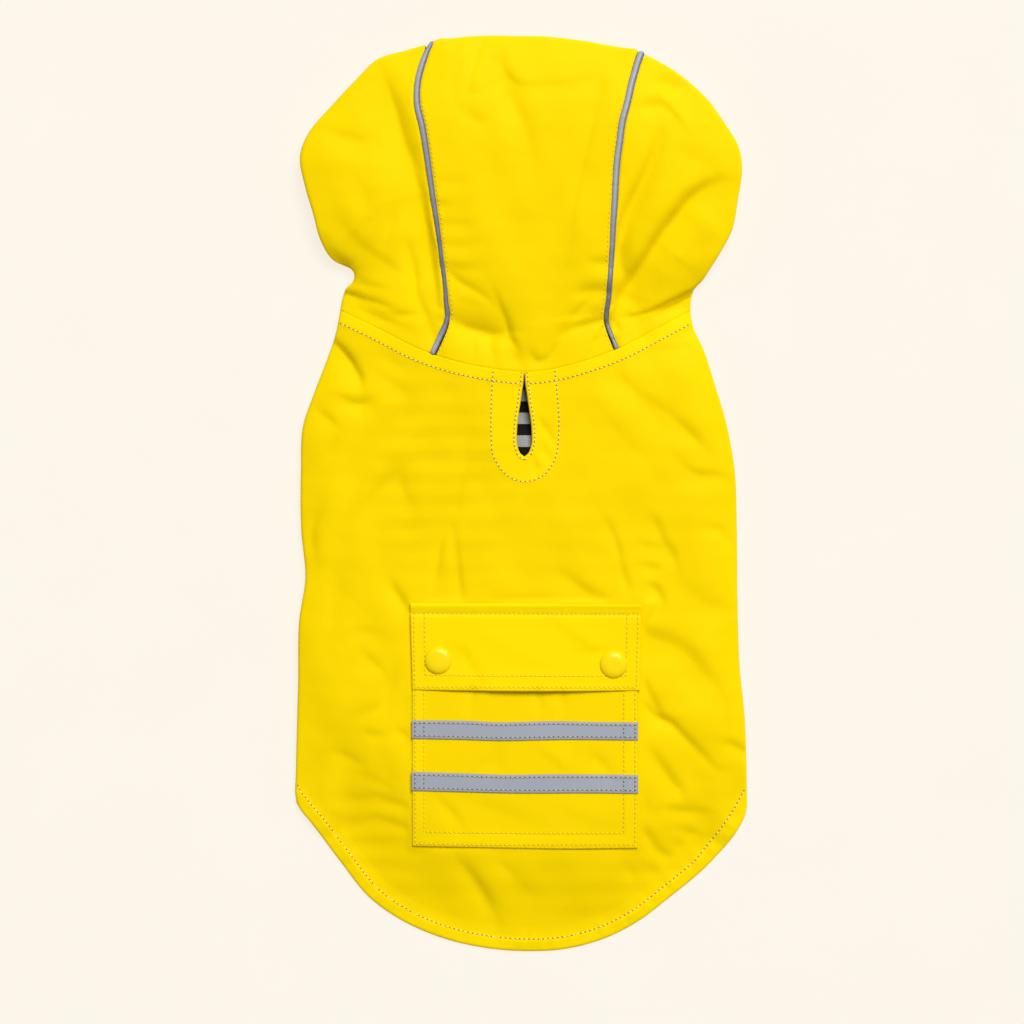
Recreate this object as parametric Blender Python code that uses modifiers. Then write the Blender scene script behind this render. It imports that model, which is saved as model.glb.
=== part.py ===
"""Dog raincoat laid flat: back side up, hood towards +Y, underside on the plane z = 0.

The tables and sizes are in millimetres. Points become metres when a mesh or curve is made.
Plan places are (x, y) seen from above, and heights are those of the cloth's outer face.
"""

from collections import namedtuple
import math

import bmesh
import bpy
from mathutils import Vector
import numpy as np

MM = 0.001

# Cloth and gaps
WALL = 1.2                # coated shell cloth with its jersey lining
TAPE_WALL = 1.0
SEAM_GAP = 0.5            # between two panels along the neck seam
LAY_GAP = 0.4             # between a piece and the panel that it lies on
PIPING_RADIUS = 1.5
PIPING_ROOM = 1.85        # from a hood seam's line to the edge of each panel beside it
PIPING_PROUD = 0.9        # how far the piping stands out of the hood
PIPING_NECK_END = 1.6     # from the neck seam to the piping's lower end
PIPING_BRIM_END = 1.0     # from the brim of the face to its other end, underneath
PIPING_CLEAR = 0.06       # from the surface to the piping underneath
PIPING_TURNS = [90, 67, 45, 22, 0]   # degrees at which its points lie round the hood's top edge

# Body
TURNED_UNDER = 14.0       # width of the back panel's strip under each side fold
HEM_FALL = 60.0           # distance over which the tail comes down to the surface
CORNER_HEIGHT = 4.0       # height of the back panel where a side fold ends at the hem
CORNER_FADE = 16.0        # distance over which that corner comes down to the surface
BODY_ROWS = 26
BODY_COLUMNS = 22

# Keyhole slit for a leash, below the neck seam
KEYHOLE_X = 1.7
KEYHOLE_CUT = (5.0, 20.0)   # heights between which it is cut, which is through the back panel

# Chest and belly panel
BELLY_END_SIDE = -150.0
BELLY_END_MIDDLE = -112.0
BELLY_END_CURVE = 0.9     # part of the half width over which its lower end curves
BELLY_END_POINTS = 13
LEG_HOLE_X = 55.0
LEG_HOLE_Y = 38.0
LEG_HOLE_RADIUS = (20.0, 27.0)
LINING_WIDTH = 54.0
LINING_TOP = 92.0
LINING_LENGTH = 122.0

# Cargo pocket
POCKET_SWELL = 1.6        # how far the pocket's middle stands off its edges
FLAP_STEP = 10.0          # length over which the flap climbs onto the pocket
FLAP_BOW = 1.2            # how far the flap's lower edge bows up between its snaps
SNAP_RADIUS = 7.15

# Places along a side fold, from the neck to the hem. rim is the height of the outermost edge.
FoldSpot = namedtuple("FoldSpot", "x y rim")

LEFT_FOLD = [
    FoldSpot(-95.4, 96.6, 4.6), FoldSpot(-97.6, 85.0, 4.6), FoldSpot(-103.0, 69.0, 4.6),
    FoldSpot(-109.5, 52.0, 4.5), FoldSpot(-114.6, 36.0, 4.4), FoldSpot(-116.3, 12.0, 4.3),
    FoldSpot(-115.6, -20.0, 4.2), FoldSpot(-113.8, -45.0, 4.2), FoldSpot(-116.9, -66.0, 4.2),
    FoldSpot(-117.6, -100.0, 4.2), FoldSpot(-118.4, -130.0, 4.0), FoldSpot(-118.9, -150.0, 3.0),
    FoldSpot(-119.0, -161.0, 2.1),
]
RIGHT_FOLD = [
    FoldSpot(89.5, 96.6, 4.6), FoldSpot(90.0, 89.0, 4.6), FoldSpot(95.0, 77.0, 4.6),
    FoldSpot(101.5, 57.0, 4.5), FoldSpot(107.4, 37.0, 4.4), FoldSpot(111.6, 14.0, 4.3),
    FoldSpot(113.4, -20.0, 4.2), FoldSpot(113.2, -56.0, 4.2), FoldSpot(114.4, -90.0, 4.2),
    FoldSpot(117.2, -118.0, 4.2), FoldSpot(118.4, -140.0, 3.6), FoldSpot(118.9, -152.0, 2.8),
    FoldSpot(119.0, -161.0, 2.1),
]

Spot = namedtuple("Spot", "x y")

NECK_SEAM = [
    Spot(-95.4, 96.6), Spot(-74.0, 86.2), Spot(-53.7, 76.0), Spot(-34.0, 69.4),
    Spot(-15.3, 65.7), Spot(1.6, 64.0), Spot(17.9, 65.7), Spot(34.0, 70.0),
    Spot(51.6, 76.6), Spot(71.0, 86.6), Spot(89.5, 96.6),
]
HEM = [
    Spot(-119.0, -161.0), Spot(-112.5, -171.5), Spot(-95.3, -193.0), Spot(-78.4, -213.5),
    Spot(-64.0, -223.8), Spot(-40.0, -234.4), Spot(-18.0, -239.4), Spot(4.0, -240.8),
    Spot(22.0, -239.2), Spot(45.0, -233.0), Spot(62.0, -224.3), Spot(76.0, -213.5),
    Spot(99.0, -193.2), Spot(114.0, -174.5), Spot(119.0, -161.0),
]
HOOD_TOP = [
    Spot(-46.6, 238.0), Spot(-38.0, 240.0), Spot(-25.0, 240.8), Spot(0.0, 240.9),
    Spot(26.0, 240.8), Spot(45.0, 237.8), Spot(60.5, 233.4), Spot(63.2, 232.0),
]

# Rows of a hood side panel from the top of the hood to the neck seam. Each one leaves the
# piping at seam, meets the outline at edge, rim high, and ends below at the brim of the face.
HoodRow = namedtuple("HoodRow", "seam_x seam_y edge_x edge_y rim brim_x brim_y")

HOOD_LEFT = [
    HoodRow(-49.5, 232.4, -48.6, 237.4, 9.0, -48.6, 214.0),
    HoodRow(-52.1, 225.0, -60.0, 233.5, 9.0, -59.0, 212.5),
    HoodRow(-54.3, 215.6, -75.5, 228.8, 9.4, -66.0, 209.0),
    HoodRow(-54.5, 204.5, -87.0, 217.8, 9.8, -72.5, 202.0),
    HoodRow(-51.8, 192.4, -99.5, 204.4, 10.0, -80.5, 192.0),
    HoodRow(-49.7, 179.8, -111.0, 190.5, 10.0, -88.0, 181.0),
    HoodRow(-47.9, 167.1, -116.2, 175.6, 10.0, -92.6, 169.5),
    HoodRow(-46.1, 154.5, -113.6, 161.0, 10.0, -93.0, 158.7),
    HoodRow(-44.2, 141.9, -109.6, 147.5, 10.0, -90.5, 148.2),
    HoodRow(-42.6, 130.3, -105.8, 133.6, 9.6, -85.8, 136.6),
    HoodRow(-41.6, 121.9, -99.5, 123.2, 8.6, -78.4, 127.1),
    HoodRow(-40.6, 115.0, -89.4, 118.0, 7.2, -67.9, 117.7),
    HoodRow(-40.0, 109.2, -88.2, 112.4, 6.0, -53.2, 110.3),
    HoodRow(-39.5, 101.9, -92.6, 107.6, 5.2, -37.4, 104.5),
    HoodRow(-39.2, 90.8, -94.4, 102.0, 4.8, -21.6, 99.8),
    HoodRow(-46.6, 73.6, -95.4, 96.6, 4.6, -0.4, 96.6),
]
HOOD_RIGHT = [
    HoodRow(61.3, 226.6, 65.3, 231.2, 9.0, 65.3, 207.5),
    HoodRow(59.5, 220.3, 72.4, 227.6, 9.0, 69.0, 205.0),
    HoodRow(57.9, 214.5, 81.0, 222.4, 9.4, 71.5, 201.5),
    HoodRow(55.8, 205.0, 90.5, 215.0, 9.8, 76.0, 196.0),
    HoodRow(53.2, 195.0, 99.2, 206.2, 10.0, 80.5, 188.5),
    HoodRow(51.7, 184.0, 107.6, 194.3, 10.0, 85.0, 180.5),
    HoodRow(50.5, 175.0, 113.6, 182.5, 10.0, 89.0, 172.5),
    HoodRow(49.7, 164.0, 115.8, 170.0, 10.0, 91.5, 163.5),
    HoodRow(49.2, 153.4, 114.0, 156.0, 10.0, 91.2, 154.0),
    HoodRow(48.4, 141.3, 110.6, 140.0, 10.0, 88.0, 143.5),
    HoodRow(47.9, 130.8, 104.7, 128.2, 9.2, 82.0, 133.0),
    HoodRow(47.4, 121.9, 98.6, 118.0, 7.8, 71.0, 121.0),
    HoodRow(46.8, 113.4, 95.8, 112.2, 6.4, 55.0, 112.0),
    HoodRow(46.1, 103.4, 91.4, 107.4, 5.4, 38.0, 105.0),
    HoodRow(45.1, 91.3, 89.8, 102.0, 4.8, 20.0, 100.0),
    HoodRow(50.5, 76.2, 89.5, 96.6, 4.6, 0.4, 96.6),
]
HOOD_RIM = 9.0            # height of the hood's outermost edge along its top
HOOD_BRIM = 23.0          # width of the part of the centre panel that turns under

# Height of the middle of the coat along its length, and how far in from the outline it is
# reached.
Level = namedtuple("Level", "y crown shoulder")

LEVELS = [
    Level(-241.0, 8.6, 13.0), Level(-160.0, 9.2, 13.0), Level(-100.0, 9.8, 13.0),
    Level(0.0, 10.0, 13.0), Level(40.0, 10.6, 13.0), Level(75.0, 11.4, 13.0),
    Level(90.0, 12.0, 14.0), Level(101.0, 13.0, 17.0), Level(112.0, 14.4, 21.0),
    Level(128.0, 16.6, 26.0), Level(146.0, 18.8, 30.0), Level(168.0, 20.4, 33.0),
    Level(200.0, 20.6, 33.0), Level(241.0, 19.0, 30.0),
]

# The largest folds. Each path is seen from above, width is the distance from its middle line
# to where it has mostly gone, and depth is its height there, below zero for a hollow.
Crease = namedtuple("Crease", "width depth path")

CREASES = [
    Crease(9.0, -3.2, [(-76.0, 227.0), (-66.0, 194.0), (-54.5, 166.0), (-46.0, 132.0), (-42.0, 102.0)]),
    Crease(8.0, -1.8, [(-12.0, 231.0), (-7.0, 215.5), (2.0, 194.0), (10.5, 182.0)]),
    Crease(8.0, -1.4, [(-5.0, 215.5), (19.0, 216.5), (42.5, 222.5)]),
    Crease(8.0, -2.6, [(-38.0, 116.5), (-18.0, 106.5), (-9.0, 93.0), (-2.0, 77.0)]),
    Crease(7.5, -2.6, [(-95.0, 106.5), (-82.0, 102.0), (-69.0, 97.5)]),
    Crease(9.0, -3.0, [(111.0, 163.0), (92.5, 160.5), (74.0, 142.0), (59.0, 118.0), (50.0, 101.0)]),
    Crease(9.5, -3.8, [(99.0, 115.5), (78.0, 105.0), (53.0, 94.0)]),
    Crease(14.0, 1.6, [(-104.0, 160.0), (-84.0, 150.0), (-66.0, 134.0)]),
    Crease(14.0, 1.6, [(86.0, 196.0), (72.0, 178.0), (66.0, 158.0)]),
    Crease(7.5, -2.0, [(-99.5, 80.0), (-88.5, 68.0), (-83.5, 56.0)]),
    Crease(13.0, 1.2, [(-42.0, 60.0), (-70.0, 36.0), (-98.0, 14.0)]),
    Crease(9.0, -1.7, [(54.0, 63.0), (74.0, 49.0), (99.5, 26.0)]),
    Crease(9.0, -1.5, [(71.0, -13.0), (84.0, -37.0)]),
    Crease(10.0, -1.5, [(66.0, -76.5), (84.0, -84.0), (102.5, -97.0)]),
    Crease(8.0, -2.3, [(63.0, -108.5), (79.5, -120.5), (99.5, -137.0)]),
    Crease(8.0, -1.3, [(69.5, -137.0), (86.5, -157.0)]),
    Crease(9.0, -1.4, [(78.0, -164.0), (103.0, -169.0)]),
    Crease(8.0, -1.3, [(-105.5, -138.0), (-81.5, -137.0)]),
    Crease(8.0, -1.3, [(-98.5, -161.0), (-60.0, -162.0)]),
]

EDGE_CALM = 12.0          # folds fade out over this distance from the outline
HEM_CALM = 30.0           # and over this one from the tail hem
POCKET_CALM = 9.0         # and over this one from the pocket
CREASE_END = 0.25         # part of a fold's length over which each end fades
CREASE_REST = 0.25        # part of its depth that is left at its very end

# The corners of what lies on the back panel
Patch = namedtuple("Patch", "top_left top_right bottom_left bottom_right")

POCKET = Patch((-57.3, -71.0), (61.4, -72.0), (-57.3, -185.9), (61.4, -187.1))
FLAP = Patch((-58.5, -57.5), (63.2, -58.4), (-57.2, -103.4), (62.5, -103.8))
TAPE_UPPER = Patch((-57.5, -119.2), (61.8, -120.7), (-57.5, -129.4), (61.8, -130.9))
TAPE_LOWER = Patch((-57.5, -146.6), (61.8, -148.6), (-57.5, -156.8), (61.8, -158.8))
SNAP_LEFT = Spot(-43.5, -88.5)
SNAP_RIGHT = Spot(48.6, -90.7)

KeyholeRow = namedtuple("KeyholeRow", "y half_width")

KEYHOLE = [
    KeyholeRow(61.5, 0.2), KeyholeRow(54.0, 1.1), KeyholeRow(43.0, 2.9), KeyholeRow(36.5, 3.6),
    KeyholeRow(30.0, 4.0), KeyholeRow(25.5, 3.5), KeyholeRow(22.0, 2.1), KeyholeRow(20.6, 0.7),
]

# The profile of a snap fastener's domed cap, from its middle down its outer side
SnapRow = namedtuple("SnapRow", "radius height")

SNAP_CAP = [
    SnapRow(0.0, 2.5), SnapRow(2.6, 2.4), SnapRow(4.9, 2.0), SnapRow(6.2, 1.3),
    SnapRow(SNAP_RADIUS, 0.9), SnapRow(SNAP_RADIUS, 0.0), SnapRow(0.0, 0.0),
]

# Where the points of a row lie, as parts of its length
SIDE_FRACTIONS = [0.0, 0.03, 0.10, 0.20, 0.32, 0.46, 0.60, 0.74, 0.87, 1.0]
SHOULDER_FRACTIONS = [0.0, 0.008, 0.026, 0.054]
ROLL_ANGLES = [30, 60, 90]
HOOD_COLUMNS = 11
HOOD_RIM_ROWS = 4

SHELL_YELLOW = (0.93, 0.68, 0.01)
TAPE_GREY = (0.38, 0.40, 0.44)
PIPING_GREY = (0.36, 0.38, 0.43)
LINING_GREY = (0.30, 0.30, 0.29)
SNAP_YELLOW = (0.93, 0.70, 0.01)


def smooth_through(knots, rows, at):
    """Smooth curve through rows of values, one row at each knot, read at the places in at."""
    knots = np.asarray(knots, float)
    rows = np.asarray(rows, float)
    slopes = np.gradient(rows, knots, axis=0)
    at = np.atleast_1d(at).astype(float)
    start = np.clip(np.searchsorted(knots, at, side="right") - 1, 0, len(knots) - 2)
    step = (knots[start + 1] - knots[start])[:, None]
    part = ((at - knots[start])[:, None]) / step
    return (
        rows[start] * (2 * part**3 - 3 * part**2 + 1)
        + slopes[start] * step * (part**3 - 2 * part**2 + part)
        + rows[start + 1] * (3 * part**2 - 2 * part**3)
        + slopes[start + 1] * step * (part**3 - part**2)
    )


def along(spots, fractions):
    """Places on the smooth curve through spots, at these parts of its length."""
    spots = np.asarray(spots, float)
    steps = np.linalg.norm(np.diff(spots[:, :2], axis=0), axis=1)
    knots = np.concatenate([[0.0], np.cumsum(steps)])
    return smooth_through(knots, spots, np.asarray(fractions) * knots[-1])


def soft_step(value):
    """Rise from 0 to 1, level at both ends."""
    value = np.clip(value, 0.0, 1.0)
    return value * value * (3 - 2 * value)


def nearest_on(path, places):
    """Distance from each place to a path, and where on the path that is, in its points."""
    path = np.asarray(path, float)[:, :2]
    start = path[:-1]
    run = path[1:] - start
    offset = places[:, None, :] - start[None]
    part = np.clip((offset * run).sum(2) / (run * run).sum(1), 0.0, 1.0)
    gaps = np.linalg.norm(offset - part[..., None] * run, axis=2)
    best = gaps.argmin(1)
    pick = np.arange(len(places))
    return gaps[pick, best], best + part[pick, best]


def hood_rows(table, parts=2):
    """The rows of a hood side panel, with parts steps between two rows of its table."""
    count = len(table) - 1
    return smooth_through(range(count + 1), table, np.linspace(0, count, count * parts + 1))


def whole_outline():
    """The coat's outline but for the tail hem, as rows of x, y and rim height."""
    left_body = along(LEFT_FOLD, np.linspace(1, 0, 60))
    right_body = along(RIGHT_FOLD, np.linspace(0, 1, 60))
    left_hood = hood_rows(HOOD_LEFT, 5)[::-1, 2:5]
    right_hood = hood_rows(HOOD_RIGHT, 5)[:, 2:5]
    top = along(HOOD_TOP, np.linspace(0, 1, 30))[1:-1]
    top = np.column_stack([top, np.full(len(top), HOOD_RIM)])
    return np.vstack([left_body[:-1], left_hood, top, right_hood, right_body[1:]])


OUTLINE = whole_outline()
HEM_LINE = along(HEM, np.linspace(0, 1, 80))


def crease_height(places):
    """Height that the folds add at each place."""
    total = np.zeros(len(places))
    for crease in CREASES:
        steps = len(crease.path) - 1
        path = along(crease.path, np.linspace(0, 1, steps * 6 + 1))
        gap, where = nearest_on(path, places)
        reach = where / (len(path) - 1)
        ends = soft_step(np.minimum(reach, 1 - reach) / CREASE_END)
        strength = crease.depth * (CREASE_REST + (1 - CREASE_REST) * ends)
        total += strength * np.exp(-((1.5 * gap / crease.width) ** 2))
    return total


def outside_pocket(places):
    """0 under the pocket and flap, rising to 1 a little way outside them."""
    left, right = FLAP.top_left[0], FLAP.top_right[0]
    top, bottom = FLAP.top_left[1], POCKET.bottom_right[1]
    beyond_x = np.maximum(left - places[:, 0], places[:, 0] - right)
    beyond_y = np.maximum(bottom - places[:, 1], places[:, 1] - top)
    return soft_step(np.maximum(beyond_x, beyond_y) / POCKET_CALM)


def top_height(places):
    """Height of the outer face of the coat's upper side at each (x, y)."""
    places = np.asarray(places, float).reshape(-1, 2)
    gap, where = nearest_on(OUTLINE, places)
    rim = np.interp(where, range(len(OUTLINE)), OUTLINE[:, 2])
    levels = np.array(LEVELS)
    crown, shoulder = smooth_through(levels[:, 0], levels[:, 1:], places[:, 1]).T
    hem_gap = nearest_on(HEM_LINE, places)[0]
    corner = (CORNER_HEIGHT - WALL) * (1 - soft_step((gap - TURNED_UNDER) / CORNER_FADE))
    hem_height = WALL + corner
    crown = hem_height + (crown - hem_height) * soft_step(hem_gap / HEM_FALL)
    inward = np.clip(gap / shoulder, 0.0, 1.0)
    height = rim + (crown - rim) * np.sqrt(1 - (1 - inward) ** 2)
    folds = crease_height(places) * outside_pocket(places)
    height += folds * soft_step(gap / EDGE_CALM) * soft_step(hem_gap / HEM_CALM)
    return np.maximum(height, WALL)


def on_top(grid):
    """Grid of plan places, lifted to the coat's upper side."""
    heights = top_height(grid.reshape(-1, 2)).reshape(grid.shape[:2])
    return np.dstack([grid, heights])


def fill_plan(left, right, fractions, top=None, bottom=None):
    """Rows of places from the left line to the right one, bent to meet the top and bottom."""
    across = np.asarray(fractions, float)[None, :, None]
    grid = left[:, None] * (1 - across) + right[:, None] * across
    down = np.linspace(0, 1, len(left))[:, None, None]
    if top is not None:
        grid = grid + (1 - down) * (top - grid[0])[None]
    if bottom is not None:
        grid = grid + down * (bottom - grid[-1])[None]
    return grid


def turned_under(edge, rim, end, parts=1):
    """Columns of points from the outline's edge round the rolled rim to the cloth's end below."""
    run = end - edge
    reach = np.linalg.norm(run, axis=1, keepdims=True)
    inward = run / reach
    roll = np.minimum(rim[:, None], reach / 2)
    columns = []
    for angle in ROLL_ANGLES:
        turn = math.radians(angle)
        place = edge + inward * roll * (1 - math.cos(turn))
        columns.append(np.column_stack([place, rim * (1 - math.sin(turn))]))
    for part in range(1, parts + 1):
        place = edge + inward * (roll + (reach - roll) * part / parts)
        columns.append(np.column_stack([place, np.zeros(len(place))]))
    return columns


def beside(line, distance):
    """The line moved sideways, to the right of its direction when distance is above zero."""
    run = np.gradient(line, axis=0)
    run /= np.linalg.norm(run, axis=1, keepdims=True)
    return line + distance * np.column_stack([run[:, 1], -run[:, 0]])


def new_material(name, color, roughness, metallic=0.0):
    material = bpy.data.materials.new(name)
    material.use_nodes = True
    shader = material.node_tree.nodes["Principled BSDF"]
    shader.inputs["Base Color"].default_value = (*color, 1.0)
    shader.inputs["Roughness"].default_value = roughness
    shader.inputs["Metallic"].default_value = metallic
    return material


def add_object(name, data, collection, color, roughness, metallic=0.0):
    piece = bpy.data.objects.new(name, data)
    collection.objects.link(piece)
    data.materials.append(new_material(name, color, roughness, metallic))
    return piece


def cloth(name, rows, collection, color=SHELL_YELLOW, wall=WALL):
    """A wall of cloth whose outer face goes through rows of points, left to right from above."""
    mesh = bpy.data.meshes.new(name)
    form = bmesh.new()
    grid = [[form.verts.new(Vector(point) * MM) for point in row] for row in rows]
    for upper, lower in zip(grid, grid[1:]):
        for i in range(len(upper) - 1):
            form.faces.new((upper[i], lower[i], lower[i + 1], upper[i + 1]))
    form.to_mesh(mesh)
    form.free()
    mesh.shade_smooth()
    piece = add_object(name, mesh, collection, color, 0.45)
    solidify = piece.modifiers.new("Wall", "SOLIDIFY")
    solidify.thickness = wall * MM
    solidify.offset = -1.0
    return piece


def flat_panel(name, outlines, bottom, wall, collection, color):
    """Flat cloth inside the first outline and outside the others, wall thick above bottom."""
    curve = bpy.data.curves.new(name, "CURVE")
    curve.dimensions = "2D"
    curve.fill_mode = "BOTH"
    curve.extrude = wall / 2 * MM
    for outline in outlines:
        spline = curve.splines.new("POLY")
        spline.points.add(len(outline) - 1)
        for point, (x, y) in zip(spline.points, outline):
            point.co = (x * MM, y * MM, 0.0, 1.0)
        spline.use_cyclic_u = True
    piece = add_object(name, curve, collection, color, 0.6)
    piece.location.z = (bottom + wall / 2) * MM
    return piece


def make_back_panel(collection, cutters):
    down = np.linspace(0, 1, BODY_ROWS + 1)
    middle = np.linspace(SHOULDER_FRACTIONS[-1], 1 - SHOULDER_FRACTIONS[-1], BODY_COLUMNS + 1)
    shoulder = SHOULDER_FRACTIONS[:-1]
    across = np.concatenate([shoulder, middle, 1 - np.array(shoulder[::-1])])
    left = along(LEFT_FOLD, down)
    right = along(RIGHT_FOLD, down)
    plan = fill_plan(left[:, :2], right[:, :2], across, along(NECK_SEAM, across), along(HEM, across))
    plan[0, :, 1] -= SEAM_GAP / 2
    upper = on_top(plan)
    upper[:, 0, 2] = left[:, 2]
    upper[:, -1, 2] = right[:, 2]
    strip = np.array([TURNED_UNDER, 0.0])
    left_under = turned_under(plan[:, 0], left[:, 2], plan[:, 0] + strip)
    right_under = turned_under(plan[:, -1], right[:, 2], plan[:, -1] - strip)
    columns = left_under[::-1] + [upper[:, i] for i in range(len(across))] + right_under
    rows = np.stack(columns, axis=1)
    panel = cloth("back_panel", rows, collection)

    keyhole = bmesh.new()
    side = [(KEYHOLE_X + row.half_width, row.y) for row in KEYHOLE]
    other_side = [(KEYHOLE_X - row.half_width, row.y) for row in reversed(KEYHOLE)]
    low, high = KEYHOLE_CUT
    corners = [keyhole.verts.new(Vector((x, y, low)) * MM) for x, y in side + other_side]
    base = keyhole.faces.new(corners)
    raised = bmesh.ops.extrude_face_region(keyhole, geom=[base])
    risen = [item for item in raised["geom"] if isinstance(item, bmesh.types.BMVert)]
    bmesh.ops.translate(keyhole, vec=(0, 0, (high - low) * MM), verts=risen)
    bmesh.ops.recalc_face_normals(keyhole, faces=keyhole.faces)
    mesh = bpy.data.meshes.new("keyhole_cutter")
    keyhole.to_mesh(mesh)
    keyhole.free()
    cutter = bpy.data.objects.new("keyhole_cutter", mesh)
    cutter.hide_render = True
    cutter.display_type = "WIRE"
    cutters.objects.link(cutter)
    cut = panel.modifiers.new("Keyhole", "BOOLEAN")
    cut.object = cutter
    cut.operation = "DIFFERENCE"
    cut.solver = "EXACT"


def leg_hole(side):
    turns = np.linspace(0, 2 * math.pi, 28, endpoint=False)
    across, length = LEG_HOLE_RADIUS
    return [
        (side * LEG_HOLE_X + across * math.cos(turn), LEG_HOLE_Y + length * math.sin(turn))
        for turn in turns
    ]


def make_front_panel(collection):
    top = NECK_SEAM[0].y - SEAM_GAP
    inset = TURNED_UNDER + SEAM_GAP
    down = np.linspace(0, 1, BODY_ROWS + 1)
    sides = []
    for fold, inward in ((LEFT_FOLD, 1), (RIGHT_FOLD, -1)):
        line = along(fold, down)
        kept = line[line[:, 1] > BELLY_END_SIDE]
        edge = [(x + inward * inset, min(y, top)) for x, y, rim in kept]
        sides.append(edge)
    left, right = sides
    middle = (left[-1][0] + right[-1][0]) / 2
    reach = (right[-1][0] - left[-1][0]) / 2
    lower_end = []
    for part in np.linspace(-BELLY_END_CURVE, BELLY_END_CURVE, BELLY_END_POINTS):
        rise = (BELLY_END_MIDDLE - BELLY_END_SIDE) * math.cos(part * math.pi / 2)
        lower_end.append((middle + reach * part, BELLY_END_SIDE + rise))
    outline = left + lower_end + right[::-1]
    holes = [leg_hole(-1), leg_hole(1)]
    flat_panel("front_panel", [outline] + holes, 0.0, WALL, collection, SHELL_YELLOW)

    half = LINING_WIDTH / 2
    end = LINING_TOP - LINING_LENGTH
    patch = [(-half, LINING_TOP), (-half, end), (half, end), (half, LINING_TOP)]
    shifted = [(x + KEYHOLE_X, y) for x, y in patch]
    flat_panel("front_lining", [shifted], WALL + LAY_GAP, WALL, collection, LINING_GREY)


def seam_with_rim(rows, rim_spot):
    """A hood seam's line in plan, from the hood's top edge down to the neck."""
    seam = rows[:, :2]
    parts = np.linspace(0, 1, HOOD_RIM_ROWS + 1)[:-1, None]
    start = np.array(rim_spot)
    return np.vstack([start + (seam[0] - start) * parts, seam])


def make_hood_centre(collection):
    left = beside(seam_with_rim(hood_rows(HOOD_LEFT), HOOD_TOP[0]), -PIPING_ROOM)
    right = beside(seam_with_rim(hood_rows(HOOD_RIGHT), HOOD_TOP[-1]), PIPING_ROOM)
    across = np.linspace(0, 1, HOOD_COLUMNS + 1)
    dense_top = along(HOOD_TOP, np.linspace(0, 1, 200))
    top_x = left[0, 0] + (right[0, 0] - left[0, 0]) * across
    top = np.column_stack([top_x, np.interp(top_x, dense_top[:, 0], dense_top[:, 1])])
    dense_neck = along(NECK_SEAM, np.linspace(0, 1, 200))
    neck_x = left[-1, 0] + (right[-1, 0] - left[-1, 0]) * across
    neck_y = np.interp(neck_x, dense_neck[:, 0], dense_neck[:, 1]) + SEAM_GAP / 2
    bottom = np.column_stack([neck_x, neck_y])
    plan = fill_plan(left, right, across, top, bottom)
    upper = on_top(plan)
    upper[0, :, 2] = HOOD_RIM
    rim = np.full(len(across), HOOD_RIM)
    below = turned_under(plan[0], rim, plan[0] - np.array([0.0, HOOD_BRIM]))
    rows = np.concatenate([np.stack(below[::-1]), upper])
    cloth("hood_centre", rows, collection)


def make_hood_side(name, table, side, collection):
    """side is -1 for the left panel, whose piping is on its right, and 1 for the right one."""
    rows = hood_rows(table)
    seam = beside(rows[:, :2], -side * PIPING_ROOM)
    edge = rows[:, 2:4]
    rim = rows[:, 4]
    end = rows[:, 5:7]
    fractions = np.array(SIDE_FRACTIONS)
    dense_neck = along(NECK_SEAM, np.linspace(0, 1, 200))
    neck_x = edge[-1, 0] + (seam[-1, 0] - edge[-1, 0]) * fractions
    neck = np.column_stack([neck_x, np.interp(neck_x, dense_neck[:, 0], dense_neck[:, 1])])
    plan = fill_plan(edge, seam, fractions, bottom=neck)
    plan[-1, :, 1] += SEAM_GAP / 2
    upper = on_top(plan)
    upper[:, 0, 2] = rim
    below = turned_under(plan[:, 0], rim, end, parts=2)
    columns = below[::-1] + [upper[:, i] for i in range(len(fractions))]
    if side > 0:
        columns = columns[::-1]
    cloth(name, np.stack(columns, axis=1), collection)


def make_piping(name, table, rim_spot, collection):
    """Round piping that fills a hood seam, over the top edge of the hood and under to the brim."""
    line = seam_with_rim(hood_rows(table), rim_spot)
    last = line[-1] - line[-2]
    line[-1] -= last / np.linalg.norm(last) * PIPING_NECK_END
    sink = PIPING_RADIUS - PIPING_PROUD
    over = np.column_stack([line, top_height(line) - sink])[1:]
    edge_x, edge_y = line[0]
    edge_y -= sink
    lowest = PIPING_RADIUS + PIPING_CLEAR
    path = [(edge_x, edge_y - HOOD_BRIM + PIPING_BRIM_END, lowest)]
    for turn in np.radians(PIPING_TURNS):
        y = edge_y - (HOOD_RIM - sink) * (1 - math.cos(turn))
        z = HOOD_RIM - (HOOD_RIM - lowest) * math.sin(turn)
        path.append((edge_x, y, z))
    path += [tuple(point) for point in over]
    curve = bpy.data.curves.new(name, "CURVE")
    curve.dimensions = "3D"
    curve.bevel_depth = PIPING_RADIUS * MM
    curve.bevel_resolution = 2
    curve.use_fill_caps = True
    spline = curve.splines.new("POLY")
    spline.points.add(len(path) - 1)
    for point, place in zip(spline.points, path):
        point.co = (*(Vector(place) * MM), 1.0)
    add_object(name, curve, collection, PIPING_GREY, 0.4)


def pocket_lift(places):
    """How far the pocket's outer face stands above the back panel at each place."""
    left, right = POCKET.top_left[0], POCKET.top_right[0]
    top, bottom = POCKET.top_left[1], POCKET.bottom_left[1]
    across = np.clip((places[:, 0] - left) / (right - left), 0, 1)
    down = np.clip((top - places[:, 1]) / (top - bottom), 0, 1)
    swell = POCKET_SWELL * np.sin(math.pi * across) * np.sin(math.pi * down) ** 0.5
    return LAY_GAP + WALL + swell


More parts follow.
